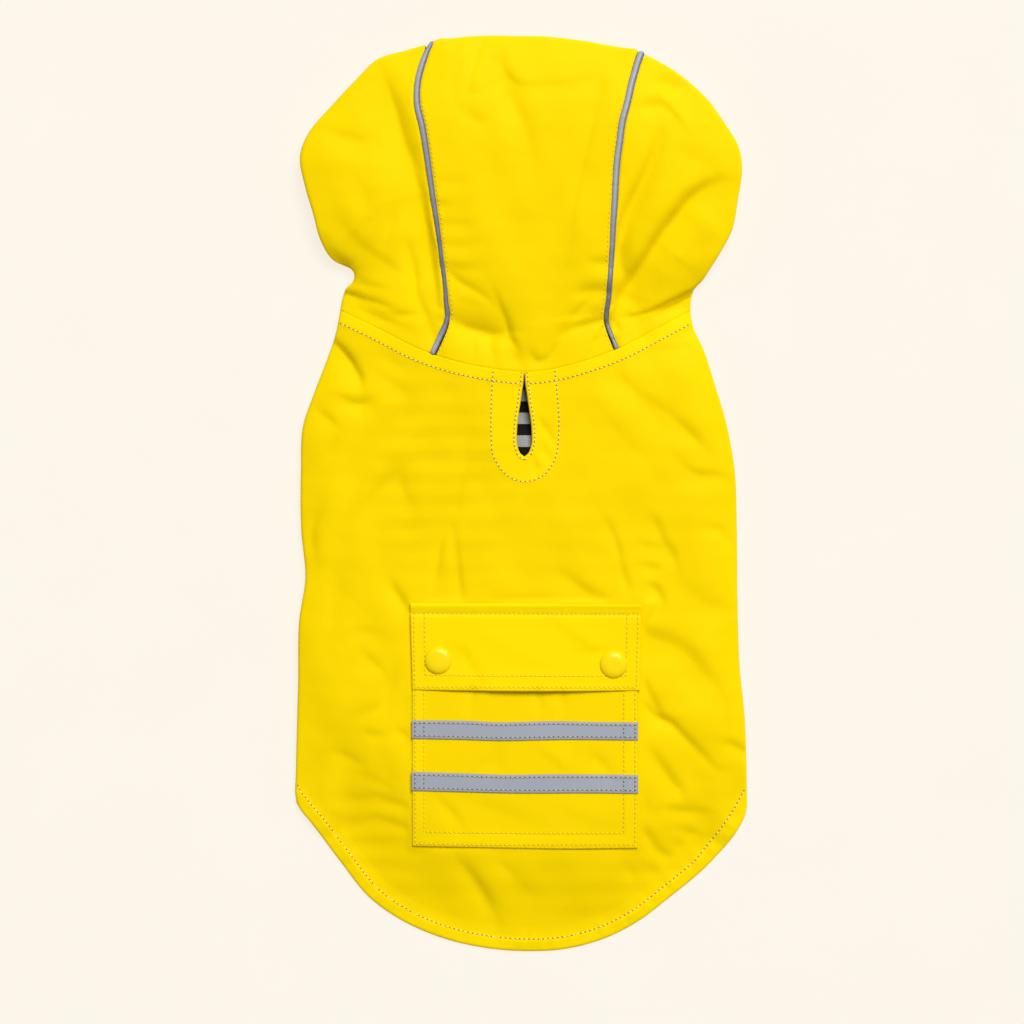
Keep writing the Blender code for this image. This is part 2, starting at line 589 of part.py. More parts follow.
def flap_lift(places):
    """The flap starts on the back panel and climbs onto the pocket. Its lower edge bows up."""
    left, right = FLAP.top_left[0], FLAP.top_right[0]
    top, bottom = FLAP.top_left[1], FLAP.bottom_left[1]
    climb = soft_step((top - places[:, 1]) / FLAP_STEP)
    across = np.clip((places[:, 0] - left) / (right - left), 0, 1)
    down = np.clip((top - places[:, 1]) / (top - bottom), 0, 1)
    bow = FLAP_BOW * np.sin(math.pi * across) ** 2 * down**3
    return LAY_GAP + WALL + climb * pocket_lift(places) + bow


def tape_lift(places):
    return pocket_lift(places) + LAY_GAP + TAPE_WALL


def make_patch(name, patch, lift, columns, rows, collection, color=SHELL_YELLOW, wall=WALL):
    """A piece that lies on the back panel, lifted off it by lift."""
    top = np.array(patch.top_left) + np.outer(
        np.linspace(0, 1, columns + 1), np.subtract(patch.top_right, patch.top_left)
    )
    bottom = np.array(patch.bottom_left) + np.outer(
        np.linspace(0, 1, columns + 1), np.subtract(patch.bottom_right, patch.bottom_left)
    )
    down = np.linspace(0, 1, rows + 1)[:, None, None]
    plan = top[None] * (1 - down) + bottom[None] * down
    grid = on_top(plan)
    grid[..., 2] += lift(plan.reshape(-1, 2)).reshape(grid.shape[:2])
    cloth(name, grid, collection, color, wall)


def make_snap(name, spot, collection):
    """Domed cap of a snap fastener, seated on the flap."""
    mesh = bpy.data.meshes.new(name)
    profile = bmesh.new()
    points = [profile.verts.new((row.radius * MM, 0.0, row.height * MM)) for row in SNAP_CAP]
    for upper, lower in zip(points, points[1:]):
        profile.edges.new((upper, lower))
    profile.to_mesh(mesh)
    profile.free()
    piece = add_object(name, mesh, collection, SNAP_YELLOW, 0.2)
    screw = piece.modifiers.new("Turned", "SCREW")
    screw.steps = 28
    screw.render_steps = 28
    screw.use_merge_vertices = True
    screw.merge_threshold = 0.00005
    screw.use_smooth_shade = True
    around = np.array([(0, 0), (SNAP_RADIUS, 0), (-SNAP_RADIUS, 0), (0, SNAP_RADIUS), (0, -SNAP_RADIUS)])
    places = np.array(spot) + around
    heights = top_height(places) + flap_lift(places)
    tilt_x = (heights[1] - heights[2]) / (2 * SNAP_RADIUS)
    tilt_y = (heights[3] - heights[4]) / (2 * SNAP_RADIUS)
    normal = Vector((-tilt_x, -tilt_y, 1.0)).normalized()
    seat = max(heights[0], heights[1:].mean()) + LAY_GAP
    piece.location = Vector((spot.x, spot.y, seat)) * MM
    piece.rotation_euler = normal.to_track_quat("Z", "Y").to_euler()


def make_raincoat():
    for item in list(bpy.data.objects):
        bpy.data.objects.remove(item, do_unlink=True)
    coat = bpy.data.collections.new("Dog raincoat")
    cutters = bpy.data.collections.new("Cutters")
    bpy.context.scene.collection.children.link(coat)
    bpy.context.scene.collection.children.link(cutters)
    make_back_panel(coat, cutters)
    make_front_panel(coat)
    make_hood_centre(coat)
    make_hood_side("hood_left", HOOD_LEFT, -1, coat)
    make_hood_side("hood_right", HOOD_RIGHT, 1, coat)
    make_piping("piping_left", HOOD_LEFT, HOOD_TOP[0], coat)
    make_piping("piping_right", HOOD_RIGHT, HOOD_TOP[-1], coat)
    make_patch("pocket", POCKET, pocket_lift, 12, 11, coat)
    make_patch("pocket_flap", FLAP, flap_lift, 12, 8, coat)
    make_patch("tape_upper", TAPE_UPPER, tape_lift, 12, 1, coat, TAPE_GREY, TAPE_WALL)
    make_patch("tape_lower", TAPE_LOWER, tape_lift, 12, 1, coat, TAPE_GREY, TAPE_WALL)
    make_snap("snap_left", SNAP_LEFT, coat)
    make_snap("snap_right", SNAP_RIGHT, coat)


make_raincoat()
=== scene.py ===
from collections import namedtuple
import math

import bpy
from mathutils import Matrix, Vector, noise
import numpy as np


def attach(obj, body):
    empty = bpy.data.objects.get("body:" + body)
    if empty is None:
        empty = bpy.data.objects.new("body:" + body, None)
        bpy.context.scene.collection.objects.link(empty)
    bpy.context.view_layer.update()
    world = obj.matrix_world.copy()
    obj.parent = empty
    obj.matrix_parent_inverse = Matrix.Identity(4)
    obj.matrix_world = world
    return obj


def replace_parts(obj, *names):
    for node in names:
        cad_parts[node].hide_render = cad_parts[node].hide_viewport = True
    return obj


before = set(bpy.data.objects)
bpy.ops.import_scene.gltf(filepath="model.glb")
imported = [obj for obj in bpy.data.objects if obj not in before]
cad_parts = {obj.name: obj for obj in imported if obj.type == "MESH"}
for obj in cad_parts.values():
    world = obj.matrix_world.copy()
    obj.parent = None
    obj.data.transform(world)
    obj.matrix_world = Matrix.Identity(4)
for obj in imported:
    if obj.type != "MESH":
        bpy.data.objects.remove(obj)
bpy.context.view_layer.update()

# Back panel. One piece of coated rain cloth backed with striped jersey, cut from the neck seam
# to a rounded tail. Its sides are turned under, its tail is hemmed with one row of topstitching,
# and a faced keyhole slit for the leash opens below the neck seam. Sizes are in millimetres.

MM = 0.001
WALL = 1.2
CUT_ANGLE = 55.0          # a sharper turn than this is the cloth's cut edge
CLOTH_STEP = 1.4          # between two rows or columns of points in a large panel
TURNED_UNDER = 14.0
ROLL_TURNS = [10, 20, 30, 42, 54, 66, 78, 90]   # degrees round a rolled edge
HEM_FALL = 60.0
CORNER_HEIGHT = 4.0
CORNER_FADE = 16.0
BODY_WIDTH = 225.0        # usual width, from which the columns are spaced
BODY_LENGTH = 304.8       # from the neck seam to the end of the tail
HEM_WIDTH = 6.5           # from the tail's edge to its topstitching
NECK_ALLOWANCE = 6.3      # from the neck seam to its topstitching
SEAM_GAP = 0.5
FAR_OFF = 50.0            # further than any stitches pull the cloth
EDGE_ROUND = 1.25         # radius of a turned edge, of the one along the neck seam, and of the slit's
NECK_ROUND = 0.5
SLIT_ROUND = 0.9
NECK_RISE = 0.30          # how much doubled cloth stands out at the neck seam, hem, facing and slit
HEM_RISE = 0.45
FACING_RISE = 0.22
SLIT_RISE = 0.20
SLIT_EDGE = 0.8           # width of the slit's turned edge
HEM_SINK = 0.5            # how far the hem lies down towards its edge
HEM_RIPPLE = 0.15


def rows_of(kind, rows):
    """The rows of a table, with the column names of their kind."""
    return [kind(*row) for row in rows]


# Places along a side fold, from the neck to the hem. rim is the height of the outermost edge.
FoldSpot = namedtuple("FoldSpot", "x y rim")
LEFT_FOLD = rows_of(FoldSpot, [
    (-95.4, 96.6, 4.6), (-97.6, 85.0, 4.6), (-103.0, 69.0, 4.6), (-109.5, 52.0, 4.5), (-114.9, 36.0, 4.4),
    (-116.1, 12.0, 4.3), (-115.9, -20.0, 4.2), (-113.8, -45.0, 4.2), (-116.9, -66.0, 4.2),
    (-117.6, -100.0, 4.2), (-118.4, -130.0, 4.0), (-118.9, -150.0, 3.0), (-119.2, -158.0, 2.4),
    (-118.5, -163.4, 2.0),
])
RIGHT_FOLD = rows_of(FoldSpot, [
    (89.5, 96.6, 4.6), (90.6, 89.0, 4.6), (95.9, 77.0, 4.6), (102.4, 57.0, 4.5), (108.3, 37.0, 4.4),
    (112.5, 14.0, 4.3), (113.9, -20.0, 4.2), (114.2, -56.0, 4.2), (115.3, -90.0, 4.2),
    (118.0, -118.0, 4.2), (118.9, -140.0, 3.6), (119.2, -152.0, 2.8), (119.4, -165.2, 2.0),
])
Spot = namedtuple("Spot", "x y")
NECK_SEAM = rows_of(Spot, [
    (-95.4, 96.6), (-74.0, 86.2), (-53.7, 76.0), (-34.0, 69.4), (-15.3, 65.7), (1.6, 64.0), (17.9, 65.7),
    (34.0, 70.0), (51.6, 76.6), (71.0, 86.6), (89.5, 96.6),
])
HEM = rows_of(Spot, [
    (-118.5, -163.4), (-116.6, -166.6), (-110.9, -173.7), (-95.9, -193.7), (-79.0, -214.3),
    (-64.6, -224.5), (-40.3, -235.1), (-18.0, -240.1), (4.0, -241.7), (22.0, -240.7), (45.5, -234.4),
    (62.5, -225.5), (76.8, -214.6), (100.3, -194.5), (115.3, -176.0), (118.0, -170.6), (119.4, -165.2),
])

# The hood lies above the neck seam, and the cloth of the whole coat falls towards one outline.
# A row of a hood side leaves the piping at seam, meets the outline at edge, rim high, and ends
# underneath at the brim of the face.
HOOD_TOP = rows_of(Spot, [
    (-46.6, 238.0), (-43.5, 239.3), (-37.0, 239.7), (-26.0, 240.8), (0.0, 240.9), (14.0, 240.6),
    (23.0, 239.7), (35.5, 238.0), (48.0, 235.7), (56.5, 234.5), (61.0, 233.8), (63.2, 232.0),
])
HOOD_RIM = 9.0
HoodRow = namedtuple("HoodRow", "seam_x seam_y edge_x edge_y rim brim_x brim_y")
HOOD_LEFT = rows_of(HoodRow, [
    (-49.5, 232.4, -50.2, 236.3, 9.0, -50.2, 214.0), (-52.1, 225.0, -60.0, 233.5, 9.0, -59.0, 212.5),
    (-54.3, 215.6, -75.5, 228.8, 9.4, -66.0, 209.0), (-54.5, 204.5, -87.0, 217.8, 9.8, -72.5, 202.0),
    (-51.8, 192.4, -99.5, 204.4, 10.0, -80.5, 192.0), (-49.7, 179.8, -111.2, 190.8, 10.0, -88.0, 181.0),
    (-47.9, 167.1, -116.4, 177.0, 10.0, -92.6, 169.5), (-46.1, 154.5, -113.6, 161.0, 10.0, -93.0, 158.7),
    (-44.2, 141.9, -109.6, 147.5, 10.0, -90.5, 148.2), (-42.6, 130.3, -105.8, 133.6, 9.6, -85.8, 136.6),
    (-41.6, 121.9, -99.5, 123.2, 8.6, -78.4, 127.1), (-40.6, 115.0, -89.4, 118.0, 7.2, -67.9, 117.7),
    (-40.0, 109.2, -88.2, 112.4, 6.0, -53.2, 110.3), (-39.5, 101.9, -92.6, 107.6, 5.2, -37.4, 104.5),
    (-39.2, 90.8, -94.4, 102.0, 4.8, -21.6, 99.8), (-46.6, 73.6, -95.4, 96.6, 4.6, -0.4, 96.6),
])
HOOD_RIGHT = rows_of(HoodRow, [
    (61.3, 226.6, 65.3, 231.2, 9.0, 65.3, 207.5), (59.5, 220.3, 72.4, 227.6, 9.0, 69.0, 205.0),
    (57.9, 214.5, 81.0, 222.4, 9.4, 71.5, 201.5), (55.8, 205.0, 90.5, 215.0, 9.8, 76.0, 196.0),
    (53.2, 195.0, 99.2, 206.2, 10.0, 80.5, 188.5), (51.7, 184.0, 107.6, 194.3, 10.0, 85.0, 180.5),
    (50.5, 175.0, 114.4, 182.8, 10.0, 89.0, 172.5), (49.7, 164.0, 116.4, 170.3, 10.0, 91.5, 163.5),
    (49.2, 153.4, 114.4, 156.0, 10.0, 91.2, 154.0), (48.4, 141.3, 111.5, 139.7, 10.0, 88.0, 143.5),
    (47.9, 130.8, 105.6, 127.8, 9.2, 82.0, 133.0), (47.4, 121.9, 99.3, 117.6, 7.8, 71.0, 121.0),
    (46.8, 113.4, 95.8, 112.2, 6.4, 55.0, 112.0), (46.1, 103.4, 91.4, 107.4, 5.4, 38.0, 105.0),
    (45.1, 91.3, 89.8, 102.0, 4.8, 20.0, 100.0), (50.5, 76.2, 89.5, 96.6, 4.6, 0.4, 96.6),
])

# Height of the middle of the coat along its length, how far in from the outline it is reached,
# and the radius that the cloth rolls over the outline with.
Level = namedtuple("Level", "y crown shoulder roll")
LEVELS = rows_of(Level, [
    (-241.0, 8.6, 20.0, 1.5), (-160.0, 9.2, 22.0, 1.5), (-100.0, 9.8, 24.0, 1.5), (0.0, 10.0, 24.0, 1.5),
    (40.0, 10.6, 24.0, 1.5), (75.0, 11.6, 24.0, 1.5), (90.0, 13.0, 27.0, 1.5), (101.0, 14.2, 32.0, 1.5),
    (112.0, 15.2, 38.0, 1.6), (128.0, 16.4, 43.0, 1.6), (146.0, 17.4, 48.0, 1.6),
    (168.0, 18.1, 50.0, 1.6), (200.0, 18.5, 50.0, 1.6), (241.0, 17.8, 50.0, 1.6),
])

# The folds of the lying cloth. A fold is a trough or, with a depth above zero, a ridge along a
# path of (x, y, depth). right and left are the widths of its two slopes, seen along the path,
# and crisp goes from 0 for a rounded fold to 1 for a sharp one.
Crease = namedtuple("Crease", "right left crisp path")
HOOD_CREASES = rows_of(Crease, [
    (16, 9, 0.8, [(-76.5, 229, -0.54), (-72, 218.5, -2.34), (-66.5, 203, -4.5), (-61.5, 185, -5.4),
        (-56, 170.5, -4.5), (-52.5, 158, -2.7)]),
    (11, 4, 0.5, [(-53.5, 160, -1.35), (-51, 148, -3.06), (-49, 134, -3.6), (-46.5, 118, -3.6),
        (-45, 104, -2.34), (-43.5, 92, -0.72)]),
    (5, 5, 0.2, [(-107, 192, -0.22), (-97.5, 188, -0.9), (-89, 185.5, -1.17), (-77.5, 184.5, -0.36)]),
    (3, 4, 0.5, [(-65.5, 153, -0.22), (-68.5, 143, -1.26), (-72.5, 132.5, -0.72)]),
    (6, 5, 0.2, [(-93.5, 138.5, -0.22), (-83.5, 129, -0.99), (-72, 121, -0.99), (-61.5, 113.5, -0.29)]),
    (3, 5, 0.8, [(-60.5, 134.5, -0.24), (-58, 124, -1.9), (-56, 113.5, -2.6), (-55.5, 106, -2.1),
        (-50.5, 94, -1.4), (-46, 82, -1.2), (-43, 74.5, -0.32)]),
    (4, 5, 0.5, [(-106, 138, -0.18), (-102.5, 129, -1.5), (-97.5, 123, -3.1), (-91.5, 119.5, -3.6),
        (-89, 116.5, -1.5)]),
    (6, 4, 0.5, [(-96.5, 106, -3), (-90, 104.5, -3.6), (-81.5, 101.5, -3), (-72, 98.5, -1.4),
        (-66, 96, -0.4)]),
    (2.5, 2.5, 0.8, [(-68.5, 94.5, -0.48), (-60.5, 94, -0.8), (-51, 94.5, -0.24)]),
    (4, 3, 0.3, [(-88, 110.5, -0.48), (-79.5, 109, -0.8), (-71, 107.5, -0.24)]),
    (8, 6, 0, [(-89, 167, -0.22), (-83, 156.5, -0.65), (-81, 145, -0.29)]),
    (9, 8, 0, [(-102.5, 156.5, -0.22), (-98.5, 147, -0.72), (-92, 134.5, -0.43)]),
    (5, 4, 0.3, [(-86, 97, -0.64), (-74, 91.5, -1.3), (-64.5, 88, -0.8), (-58.5, 86, -0.24)]),
    (8, 3, 0.7, [(-11.5, 232, -0.15), (-10, 226, -1.05), (-7.5, 220, -1.5), (-2.5, 215, -1.2),
        (6, 214, -0.83), (16.5, 214.5, -0.68), (28, 215.5, -0.6), (38.5, 220, -0.22)]),
    (6, 8, 0.3, [(-9.5, 215.5, -0.98), (-3.5, 203, -1.65), (3, 186, -1.2), (5.5, 169, -0.6),
        (4.5, 154.5, -0.12)]),
    (6, 4, 0.4, [(40.5, 223, -0.24), (41.5, 212.5, -0.6), (38, 199, -1.2), (34.5, 183.5, -1.42),
        (31, 170.5, -0.98), (28, 154.5, -0.75), (24.5, 131, -0.48), (20.5, 110, -0.18)]),
    (2.5, 2.5, 0.9, [(-28.5, 237, 0.18), (-34, 228, 0.48), (-41.5, 217.5, 0.18)]),
    (2.5, 2.5, 0.8, [(-19.5, 238.5, -0.3), (-24, 228, -0.75), (-27, 217.5, -0.6), (-28, 209, -0.18)]),
    (2.5, 3, 0.8, [(-12.5, 231.5, -0.18), (-17, 222, -0.75), (-20.5, 210.5, -0.36)]),
    (2.5, 2.5, 0.8, [(-32.5, 228, -0.18), (-36.5, 217.5, -0.6), (-36.5, 208.5, -0.18)]),
    (3, 7, 0.6, [(-34, 204, -0.24), (-27.5, 198, -0.98), (-19.5, 194.5, -0.98), (-12, 203, -0.24)]),
    (3, 4, 0.5, [(-30, 212.5, -0.18), (-26, 210.5, -0.6), (-19.5, 211, -0.18)]),
    (3, 4, 0.3, [(-44, 163.5, -0.48), (-36.5, 163, -0.42), (-27, 164.5, -0.12)]),
    (3, 4, 0.3, [(-43, 151.5, -0.6), (-38.5, 151, -0.48), (-33, 151.5, -0.12)]),
    (3, 4.5, 0.3, [(-42, 141, -0.6), (-34, 140.5, -0.66), (-23.5, 141, -0.18)]),
    (3.5, 5, 0.3, [(-41, 130.5, -0.6), (-31, 130, -0.75), (-20.5, 132, -0.24)]),
    (3, 4, 0.3, [(-40, 120, -0.64), (-31, 118, -0.8), (-21.5, 118.5, -0.24)]),
    (3, 4, 0.9, [(-39.5, 118, -0.64), (-33.5, 112, -1.6), (-26, 107.5, -1.6), (-18.5, 102.5, -1.1),
        (-14, 97.5, -0.32)]),
    (3.5, 8.5, 0.8, [(-38.5, 93, -1.9), (-31, 88, -4), (-22.5, 85.5, -4.6), (-14.5, 83.5, -4.2),
        (-8.5, 83.5, -1.9)]),
    (4, 3, 0.7, [(-14.5, 107, -0.4), (-11, 98.5, -1.6), (-8, 90.5, -2.2), (-5.5, 82, -2.4),
        (-1.5, 74.5, -1)]),
    (3, 3, 0.5, [(-26, 85, -0.24), (-25.5, 78, -0.8), (-26, 71.5, -0.24)]),
    (3, 3, 0.5, [(-17, 83, -0.4), (-15.5, 75.5, -1), (-14, 69, -0.32)]),
    (3, 3, 0.4, [(-5.5, 74.5, -0.48), (-3, 70.5, -0.8), (-1, 68, -0.24)]),
    (4, 3, 0.9, [(43, 91.5, -2.4), (35.5, 89, -2.1), (27.5, 87, -1.8), (21.5, 84, -1.1),
        (17, 80.5, -0.24)]),
    (3, 2.5, 0.8, [(38.5, 103.5, -0.24), (32.5, 98.5, -1.1), (28, 93.5, -1.1), (23.5, 88.5, -0.48)]),
    (5, 3, 0.3, [(45.5, 106.5, -1.3), (38, 106.5, -1.6), (30.5, 105, -1), (25.5, 102.5, -0.24)]),
    (4, 3, 0.3, [(44.5, 121, -1.6), (39.5, 121, -1), (34.5, 122, -0.24)]),
    (3, 3, 0.7, [(4, 75, -0.4), (9, 69.5, -1.4), (13.5, 70.5, -1.2), (18.5, 77, -1.1), (23.5, 83.5, -0.4)]),
    (10, 10, 0, [(17.5, 181, -0.12), (19, 146.5, -0.75), (17, 112.5, -0.75), (13, 83.5, -0.18)]),
    (9, 9, 0, [(-26, 196.5, 0.12), (-27, 154.5, 0.3), (-11, 112.5, 0.3), (-4.5, 90.5, 0.12)]),
    (6, 6, 0, [(-34.5, 100.5, -0.32), (-27, 98.5, -1), (-17.5, 95.5, -0.48)]),
    (5.5, 11, 0.4, [(115, 163, -0.1), (107.5, 163.5, -1), (98, 161, -3.2), (90.5, 156, -5.2),
        (82.5, 146.5, -6.25), (73, 134, -6.25), (66, 123, -5.9), (58, 111.5, -5.07), (51, 100.5, -3.42)]),
    (4, 7, 0.4, [(74.5, 193.5, -0.5), (70.5, 181, -2.5), (65.5, 167.5, -3.9), (59.5, 155.5, -3.9),
        (54.5, 143.5, -3.6), (51.5, 130.5, -2.5), (50, 121, -1.53)]),
    (4, 8, 0.2, [(50.5, 126, -1.3), (54, 116.5, -1.9), (52.5, 106.5, -1.3)]),
    (1.8, 1.5, 0.8, [(52.6, 93, -0.6), (61, 93.8, -1.2), (70, 96.8, -1.4), (79.5, 101.5, -1.6),
        (89.5, 106.2, -1.8), (95, 108.5, -1.8)]),
    (18, 6.5, 0, [(58, 87.5, -0.5), (69, 91, -1.6), (79, 95.5, -2.2), (87.5, 100, -2.2), (95, 103, -2.2)]),
    (18, 26, 0, [(52, 95, -2.4), (61, 96, -5.6), (70, 97.5, -5.2), (79, 100, -2.8), (90, 104.5, -0.8)]),
    (4, 3.2, 0.5, [(68, 93.5, -0.3), (75, 96.6, -1.6), (81, 99.2, -2.6), (88, 102.6, -2.4), (94, 105, -1)]),
    (4, 20, 0, [(57, 163, -0.3), (55, 146, -1.4), (52, 126, -2.4), (50.5, 108, -1.6)]),
    (4, 5, 0.4, [(62, 201, -0.38), (68.5, 203.5, -1.53), (74.5, 203.5, -1.3), (81, 198, -0.47)]),
    (8, 8, 0, [(79.5, 180, -0.28), (89, 175.5, -1.18), (99.5, 170.5, -0.57)]),
    (2.5, 2.5, 0.9, [(73, 209, 0.28), (81, 201, 0.85), (90, 190, 0.28)]),
    (3, 7, 0.2, [(65.5, 218.5, -0.28), (75.5, 215, -1.3), (89, 212.5, -0.57)]),
    (12, 12, 0, [(62.5, 136, 0.28), (77.5, 117.5, 0.94), (89, 122, 0.38)]),
    (4, 4, 0.5, [(48, 90.5, -1.6), (51, 87, -1.3), (52, 84, -0.4)]),
    (9, 9, 0, [(100.5, 141, -0.28), (94, 130.5, -1.18), (89, 122, -0.76)]),
])
